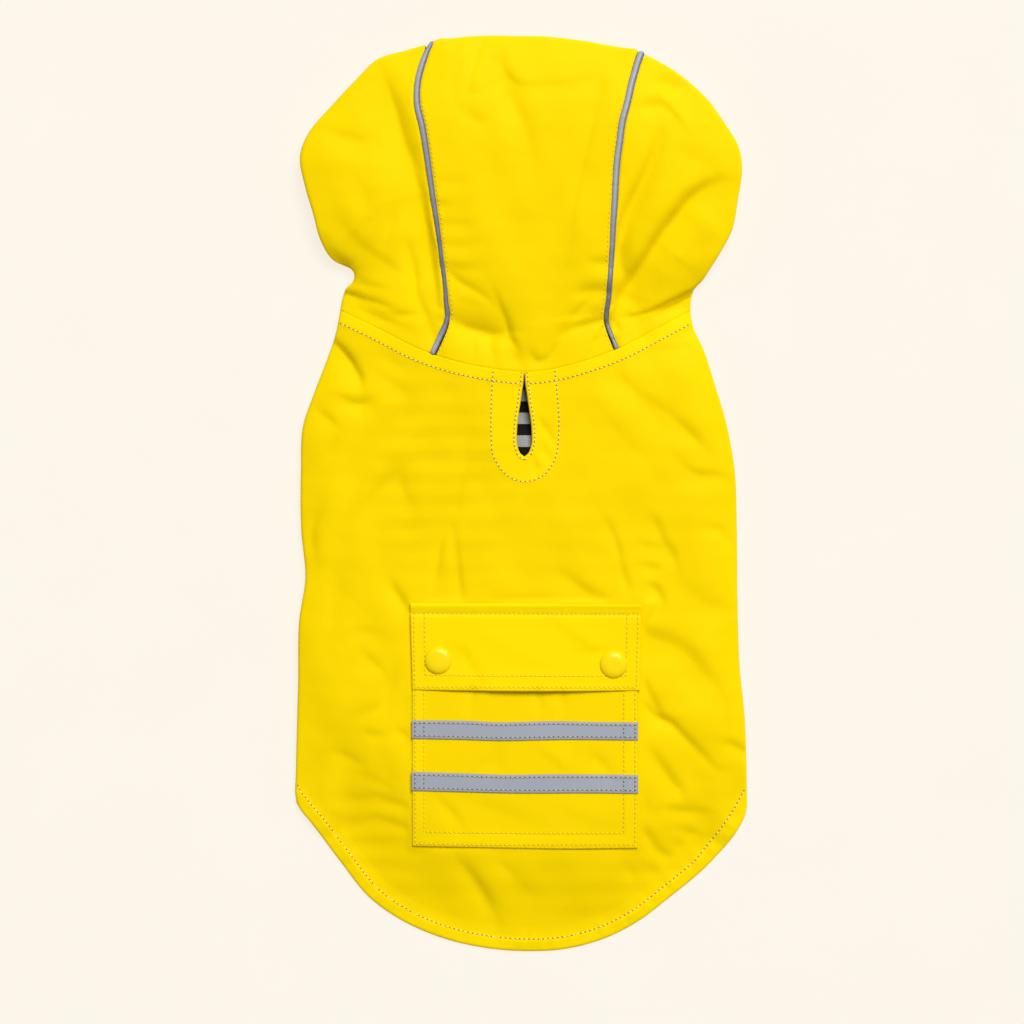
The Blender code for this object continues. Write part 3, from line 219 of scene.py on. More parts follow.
BODY_CREASES = rows_of(Crease, [
    (8, 3, 0.8, [(-100, 81, -2.12), (-93, 74, -3.3), (-88, 67, -3.07), (-85, 60.5, -2.12),
        (-84, 53.5, -0.47)]),
    (4, 4.5, 0.4, [(-97, 51.5, -0.35), (-90, 47.5, -1.53), (-83.5, 47, -1.65), (-77.5, 49.5, -0.47)]),
    (3, 3.5, 0.4, [(-108, 44.5, -0.29), (-101.5, 39, -1), (-96.5, 34.5, -0.24)]),
    (3, 3, 0.7, [(-97.5, 27.5, -0.24), (-101.5, 20.5, -0.83), (-106.5, 14.5, -0.24)]),
    (8, 9, 0, [(-56.5, 47, -0.24), (-70, 32.5, -0.89), (-83.5, 14.5, -1.18), (-92, -6, -1.06),
        (-95, -29.5, -0.89), (-93.5, -52, -0.47)]),
    (4, 4, 0.5, [(-57.5, 15.5, -0.24), (-67.5, 8.5, -0.89), (-76, -1, -0.89), (-83.5, -12, -0.29)]),
    (4, 4, 0.4, [(-54, 36, 0.18), (-66, 22, 0.59), (-81.5, 2, 0.59), (-90, -12, 0.18)]),
    (4, 4, 0.4, [(-91, 28, 0.12), (-102.5, 7, 0.41), (-110, -6, 0.18)]),
    (6, 4.5, 0.4, [(-106, -6.5, -0.47), (-109, -15, -1.3), (-110.5, -24.5, -1.53), (-109, -35, -0.47)]),
    (3.5, 3.5, 0.5, [(-27.5, 22, -0.18), (-31, 7, -0.72), (-34, -3.5, -1.08), (-38.5, -14, -1.08),
        (-42.5, -24.5, -1.44), (-44, -35, -1.56), (-46, -45.5, -1.08), (-47.5, -53, -0.24)]),
    (3, 2.5, 0.5, [(-36.5, -15, -0.24), (-34.5, -27, -0.96), (-33.5, -37.5, -1.2), (-32.5, -48, -1.44),
        (-31.5, -56, -0.48)]),
    (3.5, 4, 0.4, [(-69.5, -44, -0.35), (-66, -52, -1.53), (-61.5, -59, -1.77)]),
    (4, 4, 0.3, [(-93, -75, -0.2), (-83.5, -73, -0.65), (-73, -74, -0.2)]),
    (4, 4, 0.4, [(-85, -82.5, -0.2), (-78.5, -89, -0.9), (-73.5, -93.5, -0.5)]),
    (3.5, 4, 0.4, [(-66, -91, -0.3), (-69.5, -101.5, -1.2), (-73.5, -110.5, -0.9), (-82.5, -116, -0.6),
        (-92, -120.5, -0.2)]),
    (3, 3.5, 0.4, [(-84, -126.5, -0.23), (-77.5, -127.5, -0.92), (-70.5, -127.5, -0.32)]),
    (3, 3.5, 0.4, [(-66.5, -126, -0.28), (-62.5, -126.5, -0.92), (-59.5, -130, -0.46)]),
    (3.5, 3.5, 0.4, [(-62, -128.5, -0.28), (-66, -136, -0.69), (-70, -145.5, -0.83), (-71, -152.5, -0.23)]),
    (4, 3.5, 0.5, [(-107, -141, -0.12), (-98.5, -137, -0.41), (-91, -139, -0.78), (-85, -142, -0.6),
        (-79, -141.5, -0.15)]),
    (3, 3, 0.5, [(-93.5, -148.5, -0.09), (-83.5, -148.5, -0.3), (-75.5, -151.5, -0.39),
        (-69.5, -155, -0.15)]),
    (3, 3.5, 0.5, [(-101.5, -161, -0.09), (-92.5, -160, -0.36), (-83.5, -161, -0.48), (-76.5, -160, -0.66),
        (-69, -163, -0.66), (-61, -165, -0.84)]),
    (3, 3.5, 0.5, [(-95.5, -174, -0.12), (-86, -173.5, -0.48), (-77, -171.5, -0.66), (-68, -174, -0.72),
        (-60, -177, -0.72)]),
    (3, 3.5, 0.3, [(-92.5, -183.5, -0.09), (-82, -184, -0.41), (-71.5, -184, -0.48), (-63, -183.5, -0.15)]),
    (3, 3, 0.3, [(-104, -168, -0.09), (-98.5, -170.5, -0.3), (-92, -169, -0.09)]),
    (3, 3.5, 0.2, [(-90, -197, -0.09), (-78.5, -196.5, -0.27), (-64.5, -197, -0.12)]),
    (7, 7, 0, [(-100.5, -35, -0.24), (-97.5, -48, -0.83), (-98.5, -64, -0.83), (-102.5, -82.5, -0.29)]),
    (5, 4, 0.2, [(-71.5, -108.5, 0.14), (-79.5, -132.5, 0.28), (-78.5, -156, 0.14)]),
    (4, 5, 0.6, [(61.5, 54.5, -0.23), (71.5, 46, -0.8), (81, 38.5, -0.98), (89, 31, -1.61),
        (96, 23.5, -0.92), (101, 18, -0.17)]),
    (4, 4, 0.3, [(79.5, 21, -0.23), (86, 13.5, -0.75), (94, 9.5, -1.26), (102.5, 9, -1.03),
        (110, 6.5, -0.23)]),
    (5, 5, 0.3, [(48, 65, -0.23), (56, 56.5, -0.92), (67, 45, -0.69), (75.5, 33.5, -0.23)]),
    (9, 8, 0, [(33.5, 50.5, -0.18), (44, 38.5, -0.84), (54.5, 25, -0.84), (66, 15.5, -0.24)]),
    (2, 2.5, 0.9, [(8, 41.5, -0.24), (12.5, 34.5, -0.9), (17, 27.5, -0.6), (19, 23.5, -0.12)]),
    (2, 2.5, 0.6, [(10, 26, -0.18), (14, 20.5, -0.6), (17.5, 14, -0.12)]),
    (2, 2, 0.8, [(5.5, 19, -0.36), (7.5, 14.5, -0.9), (9, 9, -0.18)]),
    (3, 2.5, 0.6, [(43, -10.5, -0.18), (48, -21, -0.96), (50.5, -28.5, -1.08), (52.5, -38, -1.08),
        (55.5, -47, -1.08), (57, -54, -0.24)]),
    (5, 3.5, 0.4, [(67.5, -10.5, -0.23), (71, -16, -1.15), (74.5, -24.5, -1.26), (79.5, -32.5, -1.38),
        (81.5, -40.5, -0.4)]),
    (3, 3.5, 0.3, [(61, -27, -0.29), (68, -28.5, -0.69), (73, -29, -0.29)]),
    (3, 3.5, 0.3, [(62.5, -38, -0.34), (69, -39.5, -0.86), (74, -41, -0.29)]),
    (4, 3.5, 0.5, [(65.5, -47.5, -0.34), (71, -51, -1.84), (73.5, -56, -1.72), (71, -63, -1.26),
        (66.5, -68.5, -0.69)]),
    (10, 8, 0, [(65.5, -76, -1.79), (74, -78.5, -2.07), (85, -84, -2.07), (94, -94, -1.93),
        (102.5, -104.5, -1.52), (106, -117, -0.97), (106, -126.5, -0.28)]),
    (8, 8, 0, [(77.5, -37.5, -0.23), (86, -51, -0.8), (95.5, -59, -0.92), (106, -62.5, -0.69),
        (111, -67.5, -0.23)]),
    (2.5, 2.5, 1, [(62.5, -97, -1.52), (67, -104.5, -1.66), (71, -112, -1.66), (74, -117.5, -1.1)]),
    (3.5, 2.5, 1, [(62, -106.5, -1.26), (67, -113.5, -1.72), (72, -118, -2.3), (78.5, -120.5, -2.42),
        (83.5, -125.5, -2.3), (90, -132, -1.84), (96.5, -138.5, -1.26), (102.5, -144.5, -0.69),
        (110.5, -147, -0.17)]),
    (3, 3, 0.8, [(105, -131, -0.29), (111, -132.5, -1.15), (117.5, -136, -1.38)]),
    (4.5, 4.5, 0.4, [(67.5, -135, -0.46), (72.5, -142, -1.72), (77, -148.5, -2.07), (82, -155.5, -2.07),
        (86, -160, -0.57)]),
    (4, 4, 0.3, [(74, -166.5, -0.46), (83.5, -167.5, -1.49), (94, -168.5, -1.03), (103.5, -170, -0.23)]),
    (4, 4, 0.4, [(76.5, -178.5, -0.29), (83.5, -177.5, -0.8), (90, -180, -1.61), (95, -184, -0.69)]),
    (3, 2.5, 0.8, [(81, -183, -0.34), (85, -187, -1.26), (89, -192, -0.69)]),
    (3, 3.5, 0.7, [(61.5, -175, -1.38), (67, -181, -1.49), (71, -187, -1.49), (78.5, -193, -1.15),
        (86, -198.5, -0.34)]),
    (6, 6, 0.2, [(62.5, -161.5, -0.69), (67, -167.5, -0.57), (71, -171, -0.17)]),
    (3, 3, 0.3, [(96.5, -18, -0.23), (103.5, -19, -0.63), (110.5, -25.5, -0.46)]),
    (4, 5, 0.2, [(17.5, -40.5, -0.18), (26.5, -46.5, -1.08), (35.5, -53, -1.32), (44.5, -57.5, -0.72)]),
    (3, 5, 0.4, [(-21.5, -56.5, -0.12), (-6, -57, -0.84), (10, -57, -0.84), (28.5, -57.5, -0.54),
        (41.5, -58, -0.18)]),
    (4, 5, 0.4, [(-35.5, -191, -0.35), (-28.5, -199, -1.3), (-22.5, -207.5, -1.8), (-18, -215, -1.7),
        (-14.5, -223.5, -0.6)]),
    (3, 3.5, 0.3, [(-13, -193, -0.15), (-7, -198.5, -0.6), (-2, -203.5, -0.25)]),
    (2.5, 2.5, 0.5, [(54.5, -194, -0.15), (57.5, -199, -0.6), (60, -205, -0.15)]),
    (3, 3.5, 0.3, [(-17.5, -231, -0.15), (-8, -234, -0.45), (1.5, -234.5, -0.15)]),
    (5, 6, 0.2, [(-2.5, -197, -0.2), (-3.5, -205.5, -0.5), (4.5, -212, -0.4), (14, -216, -0.15)]),
    (3, 3, 0.4, [(67, -196, -0.17), (70.5, -200, -0.69), (74, -202.5, -0.23)]),
    (4, 4, 0.3, [(-64.5, 13.5, -0.18), (-61.5, -0.5, -0.59), (-58.5, -6.5, -0.24)]),
    (5, 5, 0.2, [(-78.5, 64, -0.24), (-70, 58.5, -0.71), (-61.5, 51.5, -0.47), (-63.5, 41, -0.18)]),
    (4, 4, 0.3, [(-74, 72.5, -0.18), (-63.5, 67, -0.59), (-55.5, 66, -0.24)]),
    (4, 3, 0.3, [(70, 75.5, -0.23), (77.5, 75.5, -0.8), (87, 77.5, -0.57)]),
    (3, 3, 0.4, [(85, 82, -0.57), (88, 85, -0.69), (91, 88, -0.34)]),
    (5, 5, 0.2, [(47, -51, -0.18), (48, -42.5, -0.42), (43.5, -33, -0.18)]),
    (7, 7, 0.2, [(-48, -77, 0), (-85, -103.5, 0.3), (-100.5, -130, 0.25), (-100.5, -156, 0.1)]),
])
STROKED = (-0.3, -0.95)   # the way that the cloth was stroked, mostly towards the tail
FOLD_LEAN = 1.5           # how much gentler that makes the far side of a fold
FOLD_REACH = 1.7          # a fold is felt this many times its width away
FOLD_STEEP = 1.5          # how soon its slope fades within that width
CRISPEST = 0.85           # how much a fully crisp fold is sharpened
HEM_CALM = 5.0            # folds fade out over this distance from the tail hem
POCKET_CALM = 2.0         # and over this one from the pocket and flap
LOWEST_EDGE = 1.5
LOWEST_RIM = 0.6          # where the edge also turns down into the neck seam or hem
POCKET_AREA = (-58.5, 63.2, -187.1, -57.5)   # left, right, bottom and top of pocket and flap

# Slow unevenness of cloth that was smoothed out by hand: its height, its length across and along
# the coat, and where its wave begins.
Swell = namedtuple("Swell", "height across along turn")
SWELLS = rows_of(Swell, [(0.20, 61.0, 83.0, 0.4), (0.15, -47.0, 39.0, 1.9), (0.08, 23.0, 57.0, 3.1)])
MOTTLES = [(0.30, 26.0), (0.16, 13.0), (0.075, 6.5)]    # finer unevenness: its height and its size
STRIPE_RISE = 0.03        # the stripes of the lining are knitted, and show faintly as ribs
STRIPE_PITCH = 12.05
STRIPE_START = 24.95      # y of the lower edge of one grey stripe

# Patches where the lining lies close behind the cloth: middle, half its size, how clear it is
Patch = namedtuple("Patch", "x y width length amount")
STRIPES_NEAR = rows_of(Patch, [
    (-42.0, 6.0, 40.0, 58.0, 1.0), (26.0, -22.0, 42.0, 30.0, 0.45), (92.0, 2.0, 26.0, 40.0, 0.5),
    (-78.0, -172.0, 26.0, 28.0, 0.8), (-88.0, -90.0, 26.0, 60.0, 0.35), (38.0, -206.0, 44.0, 24.0, 0.75),
    (-50.0, -206.0, 34.0, 22.0, 0.6), (92.0, -160.0, 22.0, 30.0, 0.5), (-34.0, 146.0, 12.0, 30.0, 0.6),
    (20.0, 190.0, 30.0, 40.0, 0.25),
])
KeyholeRow = namedtuple("KeyholeRow", "y half_width")
KEYHOLE_X = 1.7
KEYHOLE = rows_of(KeyholeRow, [
    (63.4, 0.0), (62.0, 0.2), (57.8, 0.5), (54.0, 1.1), (49.0, 1.8), (43.0, 2.75), (36.5, 3.6),
    (31.0, 3.9), (27.0, 3.9), (24.6, 3.45), (22.6, 2.8), (20.9, 1.8), (19.5, 0.0),
])
KEYHOLE_HEM = 1.5         # from the slit's edge to its stitches
SLIT_CLEAR = 5.0          # no usual column comes nearer than this to the slit
SLIT_STRAIGHT = 18.0      # above this y the slit's column runs straight
SLIT_PULL = 30.0          # how far out the columns bend with it
SLIT_SPREAD = 12.0        # and how far out they are pushed aside by it
# Distances of the first columns from a side fold, of the first rows from the neck seam and hem,
# and of the columns round the slit from its middle. Then y of the rows round its lower end.
FOLD_COLUMNS = [0.0, 0.12, 0.4, 0.8, 1.3, 2.0, 3.0, 4.2, 5.5, 6.9]
END_ROWS = [0.0, 0.15, 0.4, 0.8, 1.3, 2.0, 3.0, 4.1, 5.2, 6.3, 7.4, 8.7]
SLIT_COLUMNS = [-4.0, -2.8, -1.8, -1.1, -0.55, -0.2, 0.0, 0.2, 0.55, 1.1, 1.8, 2.8, 4.0]
SLIT_END_ROWS = [25.0, 24.0, 23.0, 22.0, 21.2, 20.6, 20.1, 19.75, 19.5, 19.2]
ROW_CLEAR = 0.002         # part of the length kept free of usual rows above and below those
FACING_LINE = rows_of(Spot, [
    (-14.8, 63.6), (-15.4, 54.0), (-15.8, 40.0), (-15.7, 28.5), (-14.9, 20.5), (-12.0, 14.6), (-7.2, 9.2),
    (-3.0, 7.0), (1.9, 6.1), (6.8, 7.0), (11.4, 9.2), (16.0, 14.3), (18.8, 21.5), (19.8, 30.0),
    (19.9, 39.0), (19.0, 52.0), (17.9, 64.0),
])


def smooth_through(knots, rows, at):
    """Smooth curve through rows of values, one row at each knot, read at the places in at."""
    knots = np.asarray(knots, float)
    rows = np.asarray(rows, float)
    slopes = np.gradient(rows, knots, axis=0)
    at = np.atleast_1d(at).astype(float)
    start = np.clip(np.searchsorted(knots, at, side="right") - 1, 0, len(knots) - 2)
    step = (knots[start + 1] - knots[start])[:, None]
    part = ((at - knots[start])[:, None]) / step
    return (
        rows[start] * (2 * part**3 - 3 * part**2 + 1)
        + slopes[start] * step * (part**3 - 2 * part**2 + part)
        + rows[start + 1] * (3 * part**2 - 2 * part**3)
        + slopes[start + 1] * step * (part**3 - part**2)
    )


def lengths_of(line):
    """Distance along a line to each of its places."""
    return np.concatenate([[0.0], np.cumsum(np.linalg.norm(np.diff(line, axis=0), axis=1))])


def along(spots, fractions):
    """Places on the smooth curve through spots, at these parts of its length."""
    spots = np.asarray(spots, float)
    knots = lengths_of(spots[:, :2])
    return smooth_through(knots, spots, np.asarray(fractions) * knots[-1])


def soft_step(value):
    """Rise from 0 to 1, level at both ends."""
    value = np.clip(value, 0.0, 1.0)
    return value * value * (3 - 2 * value)


def nearest_on(path, places):
    """Gap from each place to a path, where on it that is, in points, and the side: 1 is right."""
    path = np.asarray(path, float)[:, :2]
    gap = np.full(len(places), np.inf)
    where = np.zeros(len(places))
    side = np.ones(len(places))
    for i, (start, run) in enumerate(zip(path[:-1], np.diff(path, axis=0))):
        offset = places - start
        part = np.clip(offset @ run / max(run @ run, 1e-9), 0.0, 1.0)
        distance = np.linalg.norm(offset - part[:, None] * run, axis=1)
        closer = distance < gap
        gap[closer] = distance[closer]
        where[closer] = i + part[closer]
        left = run[0] * offset[:, 1] - run[1] * offset[:, 0] > 0
        side[closer] = np.where(left[closer], -1.0, 1.0)
    return gap, where, side


def gap_to(path, places):
    """Gap from each place to a path."""
    return nearest_on(path, places)[0]


def hood_rows(table, parts):
    """The rows of a hood side, with parts steps between two rows of its table."""
    count = len(table) - 1
    return smooth_through(range(count + 1), table, np.linspace(0, count, count * parts + 1))


def whole_outline():
    """The coat's outline but for the tail hem, as rows of x, y and rim height."""
    left_body = along(LEFT_FOLD, np.linspace(1, 0, 60))
    right_body = along(RIGHT_FOLD, np.linspace(0, 1, 60))
    left_hood = hood_rows(HOOD_LEFT, 5)[::-1, 2:5]
    right_hood = hood_rows(HOOD_RIGHT, 5)[:, 2:5]
    top = along(HOOD_TOP, np.linspace(0, 1, 30))[1:-1]
    top = np.column_stack([top, np.full(len(top), HOOD_RIM)])
    return np.vstack([left_body[:-1], left_hood, top, right_hood, right_body[1:]])


OUTLINE = whole_outline()
HEM_LINE = along(HEM, np.linspace(0, 1, 90))
HEM_EDGE = along(HEM, np.linspace(0, 1, 600))
NECK_LINE = along(NECK_SEAM, np.linspace(0, 1, 120))


def folds_at(places, creases):
    """Height that some folds add at each place."""
    total = np.zeros(len(places))
    for crease in creases:
        path = along(crease.path, np.linspace(0, 1, 6 * (len(crease.path) - 1) + 1))
        reach = FOLD_REACH * (1 + FOLD_LEAN) * max(crease.right, crease.left)
        low = path[:, :2].min(0) - reach
        high = path[:, :2].max(0) + reach
        near = np.flatnonzero(((places > low) & (places < high)).all(1))
        if len(near) == 0:
            continue
        gap, where, side = nearest_on(path, places[near])
        x, y, depth = (np.interp(where, range(len(path)), values) for values in path.T)
        away = (places[near] - np.column_stack([x, y])) @ np.array(STROKED)
        away /= np.maximum(gap, 0.01)
        width = np.where(side > 0, crease.right, crease.left)
        width = width * (1 + FOLD_LEAN * np.clip(-np.sign(depth) * away, 0, 1))
        total[near] += depth * np.exp(-((FOLD_STEEP * gap / width) ** (2 - CRISPEST * crease.crisp)))
    return total


def cloth_relief(places):
    """Height that the folds and the slow unevenness of the coat's cloth add at each place."""
    total = folds_at(places, HOOD_CREASES + BODY_CREASES)
    for swell in SWELLS:
        turn = places[:, 0] / swell.across + places[:, 1] / swell.along
        total += swell.height * np.sin(2 * math.pi * turn + swell.turn)
    for height, size in MOTTLES:
        total += height * np.array([noise.noise((x / size, y / size, size)) for x, y in places])
    rib = 2 * math.pi * (places[:, 1] - STRIPE_START) / STRIPE_PITCH
    total += STRIPE_RISE * np.sin(rib)
    hem_gap = gap_to(HEM_LINE, places)
    return total * outside_pocket(places) * soft_step(hem_gap / HEM_CALM)


def outside_pocket(places):
    """0 under the pocket and flap, rising to 1 a little way outside them."""
    left, right, bottom, top = POCKET_AREA
    beyond_x = np.maximum(left - places[:, 0], places[:, 0] - right)
    beyond_y = np.maximum(bottom - places[:, 1], places[:, 1] - top)
    return soft_step(np.maximum(beyond_x, beyond_y) / POCKET_CALM)


def top_height(places):
    """Height of the outer face of the coat's upper side at each (x, y)."""
    places = np.asarray(places, float).reshape(-1, 2)
    gap, where = nearest_on(OUTLINE, places)[:2]
    rim = np.interp(where, range(len(OUTLINE)), OUTLINE[:, 2])
    levels = np.array(LEVELS)
    crown, shoulder, roll = smooth_through(levels[:, 0], levels[:, 1:], places[:, 1]).T
    hem_gap = gap_to(HEM_LINE, places)
    corner = (CORNER_HEIGHT - WALL) * (1 - soft_step((gap - TURNED_UNDER) / CORNER_FADE))
    hem_height = WALL + corner
    crown = hem_height + (crown - hem_height) * soft_step(hem_gap / HEM_FALL)
    inward = np.clip(gap / shoulder, 0.0, 1.0)
    roll = np.minimum(roll, crown - rim)
    height = rim + roll * np.sqrt(1 - (1 - np.clip(gap / roll, 0.0, 1.0)) ** 2)
    height += (crown - rim - roll) * (1 - (1 - inward) ** 2)
    return np.maximum(height + cloth_relief(places), LOWEST_EDGE)


def edge_height(places, rim):
    """Height of the outline, where the folds run over it."""
    return np.maximum(rim + cloth_relief(places), LOWEST_EDGE)


def lifted(grid, height_of):
    """Grid of plan places, each lifted to height_of its place."""
    heights = height_of(grid.reshape(-1, 2)).reshape(grid.shape[:2])
    return np.dstack([grid, heights])


def beside(line, distance):
    """The line moved sideways, to the right of its direction when distance is above zero."""
    run = np.gradient(line, axis=0)
    run /= np.linalg.norm(run, axis=1, keepdims=True)
    return line + distance * np.column_stack([run[:, 1], -run[:, 0]])


def keyhole_half_width(y):
    """Half the width of the slit at each y, 0 above and below it."""
    rows = np.array(KEYHOLE)[::-1]
    width = smooth_through(rows[:, 0], rows[:, 1:], y)[:, 0]
    inside = (y > rows[0, 0]) & (y < rows[-1, 0])
    return np.where(inside, np.maximum(width, 0.0), 0.0)


KEYHOLE_Y = np.concatenate([np.linspace(63.4, 24.0, 42), np.linspace(23.6, 19.5, 16)])
KEYHOLE_EDGE = np.vstack([
    np.column_stack([KEYHOLE_X - keyhole_half_width(KEYHOLE_Y), KEYHOLE_Y]),
    np.column_stack([KEYHOLE_X + keyhole_half_width(KEYHOLE_Y), KEYHOLE_Y])[::-1],
])
FACING = along(FACING_LINE, np.linspace(0, 1, 80))
NECK_STITCHED = (-95.2, 89.0)       # the row below the neck seam runs from one x to the other
NECK_STITCHING = beside(NECK_LINE, NECK_ALLOWANCE)
NECK_STITCHING = NECK_STITCHING[
    (NECK_STITCHING[:, 0] > NECK_STITCHED[0]) & (NECK_STITCHING[:, 0] < NECK_STITCHED[1])
]
HEM_STITCH_LEFT = [(-117.7, -154.1), (-116.3, -157.4), (-113.4, -160.7), (-110.1, -165.0)]
HEM_STITCH_RIGHT = [
    (101.4, -181.8), (105.1, -177.1), (108.8, -171.8), (112.0, -167.1), (114.5, -162.4),
    (117.6, -156.8),
]
HEM_STITCH_TOP = (-170.0, -192.0)   # y below which it runs beside the hem, left and right
hem_row = beside(HEM_LINE, -HEM_WIDTH)
highest = np.where(hem_row[:, 0] > 0, HEM_STITCH_TOP[1], HEM_STITCH_TOP[0])
HEM_STITCHING = np.vstack([HEM_STITCH_LEFT, hem_row[hem_row[:, 1] < highest], HEM_STITCH_RIGHT])


def edge_round(gap, radius=EDGE_ROUND):
    """How far a turned edge has come down at each distance from it."""
    inward = np.clip(gap / radius, 0.0, 1.0)
    return radius * (1 - np.sqrt(1 - (1 - inward) ** 2))


def inside_facing(places):
    """How far inside the keyhole's facing each place is, below zero outside it."""
    gap, where, side = nearest_on(FACING, places)
    lowest = FACING_LINE[8].y - 1
    widest = 5 - FACING_LINE[3].x
    inside = (places[:, 1] > lowest) & (np.abs(places[:, 0] - KEYHOLE_X) < widest) & (side < 0)
    return np.where(inside, gap, -gap)


def hem_round(places):
    """How far the hem's turned edge has come down at each place."""
    fallen = np.zeros(len(places))
    near = gap_to(HEM_LINE, places) < 2 * EDGE_ROUND
    fallen[near] = edge_round(gap_to(HEM_EDGE, places[near]))
    return fallen


def doubled(gap, width, lead, fade):
    """1 where cloth is doubled, up to width from an edge, falling to 0 over the length fade."""
    return 1 - soft_step((gap - width + lead) / fade)


def panel_height(places):
    """Height of the back panel's outer face, with its allowances, facing and turned edges."""
    places = np.asarray(places, float).reshape(-1, 2)
    height = top_height(places)
    neck_gap = gap_to(NECK_LINE, places)
    slit_gap = gap_to(KEYHOLE_EDGE, places)
    hem_gap, hem_where = nearest_on(HEM_LINE, places)[:2]
    height += NECK_RISE * doubled(neck_gap, NECK_ALLOWANCE, 1.2, 2.2)
    height += HEM_RISE * doubled(hem_gap, HEM_WIDTH, 1.2, 2.4)
    height -= HEM_SINK * (1 - np.clip(hem_gap / (HEM_WIDTH + 1.0), 0, 1))
    ripple = np.sin(hem_where * 2.3) + 0.7 * np.sin(hem_where * 3.7 + 1.0)
    ripple *= np.exp(-(((hem_gap - 5.0) / 5.0) ** 2)) * soft_step(hem_gap / 3.0)
    height += HEM_RIPPLE * ripple
    height += FACING_RISE * soft_step((inside_facing(places) + 0.9) / 1.8)
    height += SLIT_RISE * doubled(slit_gap, SLIT_EDGE, 0.0, 1.4)
    height -= edge_round(neck_gap, NECK_ROUND) + edge_round(slit_gap, SLIT_ROUND)
    return height - hem_round(places)


def edge_spacing(length, step, start, end):
    """Parts of a length, at these distances from its start and end and step apart between."""
    start = np.asarray(start, float)
    end = np.asarray(end, float)
    count = round((length - start[-1] - end[-1]) / step)
    middle = np.linspace(start[-1], length - end[-1], count + 1)
    return np.concatenate([start[:-1], middle, length - end[-2::-1]]) / length


def fill_plan(left, right, fractions, top=None, bottom=None, down=None):
    """Rows of places from the left line to the right one, bent to meet the top and bottom."""
    across = np.asarray(fractions, float)[None, :, None]
    grid = left[:, None] * (1 - across) + right[:, None] * across
    down = np.linspace(0, 1, len(left)) if down is None else np.asarray(down, float)
    down = down[:, None, None]
    if top is not None:
        grid = grid + (1 - down) * (top - grid[0])[None]
    if bottom is not None:
        grid = grid + down * (bottom - grid[-1])[None]
    return grid


def turned_under(edge, rim, end, parts):
    """Columns of points from the outline's edge round the rolled rim to the cloth's end below."""
    run = end - edge
    reach = np.linalg.norm(run, axis=1, keepdims=True)
    inward = run / reach
    roll = np.minimum(rim[:, None], reach / 2)
    columns = []
    for turn in np.radians(ROLL_TURNS):
        place = edge + inward * roll * (1 - math.cos(turn))
        columns.append(np.column_stack([place, rim * (1 - math.sin(turn))]))
    for part in range(1, parts + 1):
        place = edge + inward * (roll + (reach - roll) * part / parts)
        columns.append(np.column_stack([place, np.zeros(len(place))]))
    return columns


def placed(name, mesh, materials):
    """A piece made of this mesh, which rides with the coat."""
    for material in materials:
        mesh.materials.append(material)
    piece = bpy.data.objects.new(name, mesh)
    bpy.context.scene.collection.objects.link(piece)
    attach(piece, "root")
    return piece


def new_piece(name, points, faces, materials):
    """A smooth piece through points in millimetres."""
    mesh = bpy.data.meshes.new(name)
    mesh.from_pydata((np.asarray(points) * MM).tolist(), [], faces)
    mesh.shade_smooth()
    return placed(name, mesh, materials)


def settle(piece):
    """Applies a piece's modifiers, and keeps its cut edges crisp."""
    graph = bpy.context.evaluated_depsgraph_get()
    final = bpy.data.meshes.new_from_object(piece.evaluated_get(graph))
    piece.modifiers.clear()
    piece.data = final
    final.set_sharp_from_angle(angle=math.radians(CUT_ANGLE))


def grid_faces(index, open_index=None):
    """Faces between rows of point numbers. open_index holds the numbers used on the right."""
    right_of = index if open_index is None else open_index
    upper_left, lower_left = right_of[:-1, :-1], right_of[1:, :-1]
    upper_right, lower_right = index[:-1, 1:], index[1:, 1:]
    return np.stack([upper_left, lower_left, lower_right, upper_right], axis=-1).reshape(-1, 4)


def ring_faces(number):
    """Faces between rings of point numbers, which go round along the last axis."""
    turned = np.roll(number, -1, axis=-1)
    corners = [number[..., :-1, :], number[..., 1:, :], turned[..., 1:, :], turned[..., :-1, :]]
    return np.stack(corners, axis=-1).reshape(-1, 4).tolist()


def store(piece, name, values):
    """Keeps a number for each of a piece's points."""
    attribute = piece.data.attributes.new(name, "FLOAT", "POINT")
    attribute.data.foreach_set("value", np.asarray(values, np.float32))


def plan_of(piece):
    """The (x, y) of each of a piece's points, in millimetres."""
    return np.array([vertex.co[:2] for vertex in piece.data.vertices]) / MM


def mark_seams(piece, stitchings):
    """Stores each point's gap to the nearest row of stitches, and its place along that row."""
    places = plan_of(piece)
    gap = np.full(len(places), FAR_OFF)
    run = np.zeros(len(places))
    for line in stitchings:
        line_gap, where = nearest_on(line, places)[:2]
        closer = line_gap < gap
        gap[closer] = line_gap[closer]
        run[closer] = np.interp(where, range(len(line)), lengths_of(line))[closer]
    store(piece, "seam_gap", gap)
    store(piece, "seam_run", run)


def mark_lining(piece, single):
    """Stores where a piece's cloth is single, and where the striped lining lies close behind."""
    places = plan_of(piece)
    near = np.zeros(len(places))
    for patch in STRIPES_NEAR:
        across = (places[:, 0] - patch.x) / patch.width
        length = (places[:, 1] - patch.y) / patch.length
        near = np.maximum(near, patch.amount * np.exp(-((across**2 + length**2) ** 2)))
    store(piece, "single", single)
    store(piece, "stripes_near", near * single)


def make_cloth(name, rows, materials, slit=None):
    """A wall of cloth whose outer face goes through rows of points, left to right from above."""
    points = rows.reshape(-1, 3)
    index = np.arange(len(points)).reshape(rows.shape[:2])
    open_index = index.copy()
    if slit is not None:
        column, slit_rows, right_points = slit
        open_index[slit_rows, column] = len(points) + np.arange(len(slit_rows))
        points = np.vstack([points, right_points])
    faces = grid_faces(index, open_index).tolist()
    piece = new_piece(name, points, faces, materials)
    solid = piece.modifiers.new("Wall", "SOLIDIFY")
    solid.thickness = WALL * MM
    solid.offset = -1.0
    solid.material_offset = 1
    settle(piece)
    return piece


